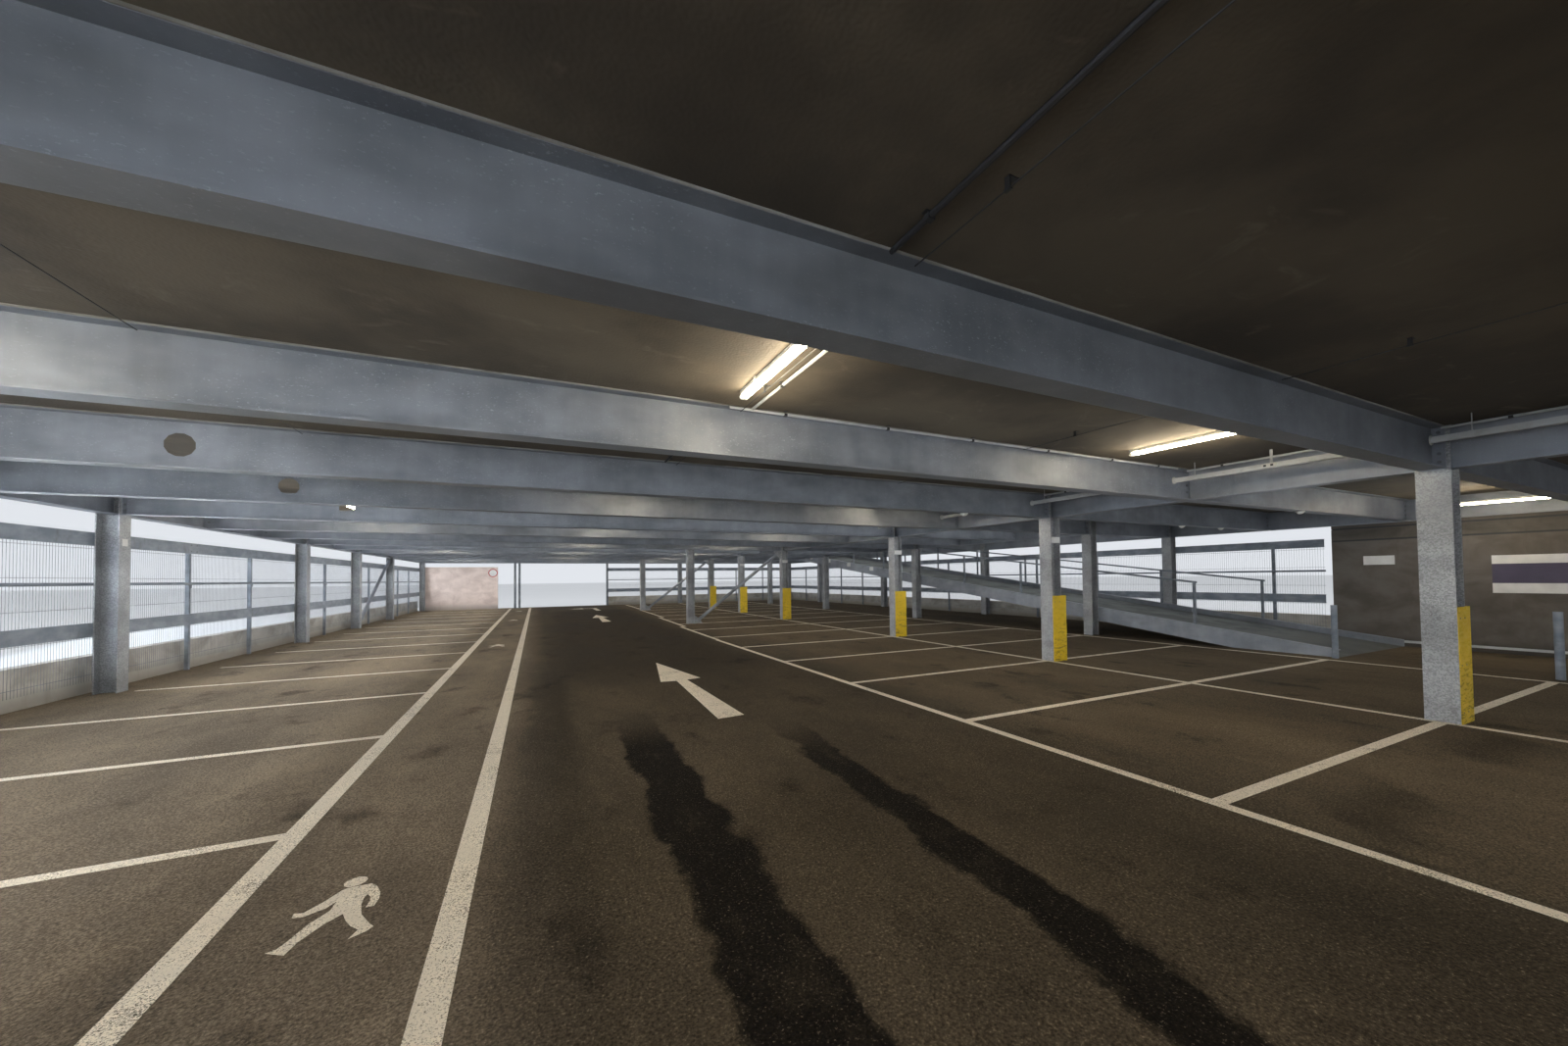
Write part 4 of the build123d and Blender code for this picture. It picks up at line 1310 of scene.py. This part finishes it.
@dataclass
class SideDetails(Fittings):
    """Wire infill, handrail brackets and rail bolts of the open sides."""

    pitch: float = 0.05
    wire: float = 0.0035
    out: float = 0.056
    reaches: Flat = (19.3, 11.7)
    ramp_way_in: float = -10.6
    aisle_way_in: float = -1.45
    wire_ends: tuple[Flat, ...] = ((0.2, 2.26), (0.2, 2.26), (0.1, 1.1))
    ties: tuple[float, ...] = (0.3, 0.85, 1.3, 1.75, 2.2)
    top_ties: tuple[float, ...] = (0.3, 0.7, 1.0)
    tie_outs: Flat = (0.004, 0.01)
    tie_half: float = 0.003
    handrail: float = 1.66
    elbow: Flat = (0.03, 0.075)
    bracket_tips: tuple[Flat, ...] = ((0.03, 0.02), (0.051, 0.09))
    bracket: float = 0.008
    rails: tuple[float, ...] = (0.92, 1.03, 2.28, 2.4)
    rail_bolts: Flat = (-0.09, 0.09)
    bolt_ends: Flat = (0.001, -0.007)
    bolt: float = 0.012

    def stretches(self, level: int) -> list[Stretch]:
        """The railed stretches of a level.

        Args:
            level: The level.

        Returns:
            Its stretches.
        """
        long, short = self.reaches
        ends = [(-long, long), (-long, long), (-short, short), (-short, short)]
        if level == 0:
            ends[1:] = (self.ramp_way_in, long), (-short, PLAN.x_ramp - 0.1), (self.aisle_way_in, short)
        return [Stretch(side, level, *pair) for side, pair in zip(Side, ends)]

    def wires(self, stretch: Stretch) -> None:
        """Stand the thin wires of one stretch and lay the level ones that tie them.

        Args:
            stretch: The stretch.
        """
        shape, half = self.shapes[f"side_wires_{stretch.level}"], self.wire / 2
        low, high = self.wire_ends[stretch.level]
        for i in range(int((stretch.end - stretch.start) / self.pitch)):
            along = stretch.start + (i + 0.5) * self.pitch
            foot = stretch.at(along - half, self.out, low)
            shape.box(foot, stretch.at(along + half, self.out + self.wire, high))
        for rise in self.top_ties if stretch.level == PLAN.storeys else self.ties:
            inner, outer = (self.out + out for out in self.tie_outs)
            start = stretch.at(stretch.start, inner, rise - self.tie_half)
            shape.box(start, stretch.at(stretch.end, outer, rise + self.tie_half))

    def stations(self, stretch: Stretch) -> list[float]:
        """Places of the posts of a stretch.

        Args:
            stretch: The stretch.

        Returns:
            Their places along the side.
        """
        if stretch.side.value[0]:
            places = [PLAN.y(f) for f in range(PLAN.frames)]
        else:
            aisle, bays = PLAN.x_spine - PLAN.x_left, PLAN.x_right - PLAN.x_spine
            places = [PLAN.x_left + aisle * i / 6 for i in range(7)]
            places += [PLAN.x_spine + bays * i / 4 for i in range(1, 5)]
        return [p for p in places if stretch.start + 0.1 < p < stretch.end - 0.1]

    def fixings(self, stretch: Stretch) -> None:
        """Bracket the handrail and bolt the flat rails of one covered stretch.

        Args:
            stretch: The stretch.
        """
        for place in self.stations(stretch):
            elbow = stretch.at(place, self.elbow[0], self.handrail - self.elbow[1])
            for out, drop in self.bracket_tips:
                tip = stretch.at(place, out, self.handrail - drop)
                self.shapes["handrail_brackets"].rod(elbow, tip, self.bracket)
            for rise in self.rails:
                for step in self.rail_bolts:
                    ends = (stretch.at(place + step, out, rise) for out in self.bolt_ends)
                    self.shapes["rail_bolts"].rod(*ends, self.bolt)

    def build(self) -> None:
        """Make the details of all sides."""
        for level in range(PLAN.storeys + 1):
            for stretch in self.stretches(level):
                self.wires(stretch)
                if level < PLAN.storeys:
                    self.fixings(stretch)


@dataclass
class BarePlates(Fittings):
    """Bare plates on columns and the ramp's edge, and the bare round sign at the far end."""

    half: float = 0.13
    tall: float = 0.055
    level: float = 2.3
    thickness: float = 0.003
    spine_frames: tuple[int, ...] = (4, 6, 9, 11)
    left_frames: tuple[int, ...] = (2, 4, 6)
    ramp_face: float = 8.043
    ramp_foot: float = -12.0
    ramp_length: float = 26.2845
    edge_places: tuple[float, ...] = (1.2, 3.1, 5.0, 6.9, 8.8, 10.7)
    edge_width: float = 0.3
    edge_levels: Flat = (-0.02, 0.16)
    sign: Point = (-8.1, 19.327, 2.3)
    sign_discs: tuple[Flat, Flat] = ((0.25, 0.012), (0.2, 0.016))

    def build(self) -> None:
        """Make the plates and the sign."""
        plates = self.shapes["bare_plates"]
        low, high = (PLAN.floor + self.level + side * self.tall for side in (-1, 1))
        for frame in self.spine_frames:
            x, y, half = PLAN.x_spine, PLAN.y(frame) - PLAN.column_face, self.half * 0.9
            plates.box((x - half, y - self.thickness, low), (x + half, y, high))
        for frame in self.left_frames:
            x, y, half = PLAN.x_left + PLAN.column_face, PLAN.y(frame), self.half * 0.45
            plates.box((x, y - half, low), (x + self.thickness, y + half, high))
        face = self.ramp_face
        for y in self.edge_places:
            rise = PLAN.floor + PLAN.storey * (y - self.ramp_foot) / self.ramp_length
            low, high = (rise + level for level in self.edge_levels)
            plates.box((face, y, low), (face + self.thickness, y + self.edge_width, high))
        x, y, z = self.sign
        for shape, (radius, depth) in zip((self.shapes["sign_rim"], plates), self.sign_discs):
            shape.rod(self.sign, (x, y - depth, z), radius, 28)


@dataclass
class GuardInfill(Fittings):
    """Upright bars in the guards beside the ramp openings."""

    x: float = 7.9855
    pitch: float = 0.11
    half: float = 0.006
    gap: float = 0.15
    bar_ends: Flat = (0.08, 1.052)
    rail_ends: Flat = (0.06, 0.09)
    rail_half: float = 0.0096

    def build(self) -> None:
        """Make the bars and the rails under them."""
        shape, wide = self.shapes["guard_bars"], self.rail_half
        for floor in (PLAN.floor_z(1), PLAN.floor_z(2)):
            (foot, head), (low, high) = ((floor + a, floor + b) for a, b in (self.bar_ends, self.rail_ends))
            for a, b in zip(PLAN.ramp_frames, PLAN.ramp_frames[1:]):
                y0, y1 = PLAN.y(a) + self.gap, PLAN.y(b) - self.gap
                count = int((y1 - y0) / self.pitch)
                for i in range(count + 1):
                    shape.block((self.x, y0 + (y1 - y0) * i / count), (self.half, self.half), foot, head)
                shape.box((self.x - wide, y0, low), (self.x + wide, y1, high))


@dataclass
class ScreenJointShadows(Fittings):
    """Dark strips of painted shadow in the joints between the boards over the lane wall, and the capping of
    its kerb.
    """

    face: float = 11.373
    start: float = -19.06
    end: float = -10.89
    levels: tuple[float, ...] = (2.5, 2.78)
    half: float = 0.018
    kerb: float = 0.12
    kerb_top: float = 0.28

    def build(self) -> None:
        """Make the strips of painted shadow in the joints, and the capping."""
        face, start, end, top = self.face, self.start, self.end, self.kerb_top
        for z in self.levels:
            low, high = z - self.half, z + self.half
            # Painted shadow: a dark strip in front of each board joint stands in for the shade in its
            # recess.
            self.shapes["board_joints"].box((face - 0.003, start, low), (face, end, high))
        x = face - self.kerb
        self.shapes["kerb_capping"].box((x - 0.004, start, top - 0.05), (x, end, top), 0.001)


# Pieces and finishes
PIECES: dict[str, Piece] = {
    **{
        f"floor_{kind}_{level}": Piece("line_paint", "notice_board")
        for level in range(PLAN.storeys + 1)
        for kind in ("lines", "signs")
    },
    "fin_plates": Piece("galvanised_beam", both=True),
    "beam_bolts": Piece("bolt_zinc", both=True),
    "bedding_strips": Piece("bedding", "deck_concrete", both=True),
    "guard_screws": Piece("bolt_zinc", both=True),
    "soffit_conduits": Piece("trunking_zinc", both=True),
    "soffit_wires": Piece("dark_fixing_and_joint_shadow", both=True),
    "soffit_clips": Piece("dark_fixing_and_joint_shadow", both=True),
    "lamp_trays": Piece("lamp_tray", "lamp_body", "lamp_bodies", both=True),
    "lamp_covers": Piece("lit_diffuser", "lamp_diffuser", "lamp_tubes", both=True),
    "lamp_hangers": Piece("dark_fixing_and_joint_shadow", both=True),
    "trunking_straps": Piece("trunking_zinc", both=True),
    "trunking_boxes": Piece("pale_fitting", both=True),
    "socket_faces": Piece("dark_fixing_and_joint_shadow", both=True),
    "dome_covers": Piece("dome_cover", "lamp_body", "soffit_domes", smooth=True),
    "side_wires_0": Piece("infill_wire", "rail_steel"),
    "side_wires_1": Piece("infill_wire", "rail_steel"),
    "side_wires_2": Piece("infill_wire", "rail_steel"),
    "handrail_brackets": Piece("bolt_zinc", "rail_steel"),
    "rail_bolts": Piece("bolt_zinc"),
    "bare_plates": Piece("notice_enamel", "notice_board"),
    "sign_rim": Piece("sign_red", "notice_board"),
    "guard_bars": Piece("slim_post_coat", "rail_steel"),
    # Painted shadow of the board joints, in the dark fixings' finish.
    "board_joints": Piece("dark_fixing_and_joint_shadow", "screen_board"),
    "kerb_capping": Piece("trunking_zinc", "wall_concrete"),
}


# Finishes of the frame's pieces, each with their names, and then of the fittings alone
FINISHES: tuple[tuple[Finish, str], ...] = (
    (Asphalt(), "ground_slab"),
    (Concrete("cast_wall", tone(204, 199, 190), tone(160, 152, 140), tone(120, 112, 98), 0.3),
     "dwarf_walls upstands"),
    (GalvanisedSteel("galvanised_column", tone(134, 135, 136), tone(166, 167, 168), tone(212, 212, 210),
                     fleck_level=0.57, crystals=0.24, spangled=True),
     "left_columns spine_columns right_columns ramp_columns aisle_posts brace_gussets"),
    (GalvanisedSteel(),
     "aisle_beams_1 aisle_beams_2 ramp_side_beams_1 ramp_side_beams_2 left_edge_beams spine_beams"
     " right_edge_beams ramp_trimmers ramp_channels brace_tubes"),
    (DeckConcrete(), "deck_units_1 deck_units_2"),
    (Concrete("ramp_concrete", tone(120, 124, 122), tone(86, 90, 90), tone(70, 70, 66), 0.3), "ramp_slabs"),
    (PaintedSteel("slim_post_coat", tone(98, 104, 112), tone(130, 136, 142)),
     "ramp_balustrades well_guards slim_posts parapet_frames entrance_posts"),
    (PaintedSteel(), "barrier_rails top_bands handrails parapet_rails bollards"),
    (Concrete("lane_wall", tone(99, 93, 86), tone(80, 74, 67), tone(50, 45, 39), 0.25), "lane_screen"),
    (Concrete("wall_boards", tone(88, 83, 76), tone(68, 63, 57), tone(60, 55, 49), 0.1), "screen_boards"),
    (Concrete("rendered_wall", tone(222, 204, 194), tone(196, 176, 166), tone(150, 138, 128), 0.4),
     "far_end_wall"),
    (GuardPaint(), "column_guards"),
    (Plastic("lamp_tray", tone(196, 196, 190)), "lamp_bodies"),
    (LitDiffuser(), "lamp_tubes"),
    (Plastic("trunking_zinc", tone(182, 184, 184), gloss=0.45), "lighting_trunking"),
    (Plastic("dome_cover", tone(222, 222, 216)), "soffit_domes"),
    (NoticeEnamel(), "notice_boards"),
    (LinePaint(), ""),
    (GalvanisedSteel("bolt_zinc", tone(92, 94, 98), tone(140, 142, 146)), ""),
    # Dark fixings, and the painted shadow in the board joints.
    (Plastic("dark_fixing_and_joint_shadow", tone(40, 40, 42), tone(70, 66, 60), 0.5), ""),
    (Plastic("pale_fitting", tone(190, 190, 184)), ""),
    (PaintedSteel("infill_wire", tone(104, 110, 118), tone(140, 146, 152)), ""),
    (Plastic("sign_red", tone(176, 52, 46)), ""),
    (Concrete("bedding", tone(150, 148, 142)), ""),
)


def dress(nodes: dict[str, bpy.types.Object]) -> Looks:
    """Make every finish and put it on the frame's pieces that have it.

    Args:
        nodes: The frame's pieces by name.

    Returns:
        The materials by the finishes' names.
    """
    looks: Looks = {}
    bare = set(nodes)
    for finish, names in FINISHES:
        looks[finish.name] = finish.material()
        for name in names.split():
            node = nodes[name]
            if not node.material_slots:
                node.data.materials.append(looks[finish.name])
            for slot in node.material_slots:
                slot.material = looks[finish.name]
            bare.discard(name)
    if bare:
        log.warning("no finish for %s", sorted(bare))
    return looks


def main() -> None:
    """Dress the frame, add the fittings and set up the camera and the studio."""
    logging.basicConfig(level=logging.INFO, format="%(name)s: %(message)s")
    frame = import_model()
    ViewPoint().build()
    Studio().build()
    looks = dress(frame["nodes"])
    shapes = {name: Shape() for name in PIECES}
    for family in (
        FloorMarkings, BeamDetails, GuardFixings, SoffitServices, Lamps, TrunkingFittings, SoffitDomes,
        SideDetails, BarePlates, GuardInfill, ScreenJointShadows,
    ):
        family(shapes).build()
    for name, piece in PIECES.items():
        shapes[name].done(name, piece, looks)


if __name__ == "__main__":
    main()
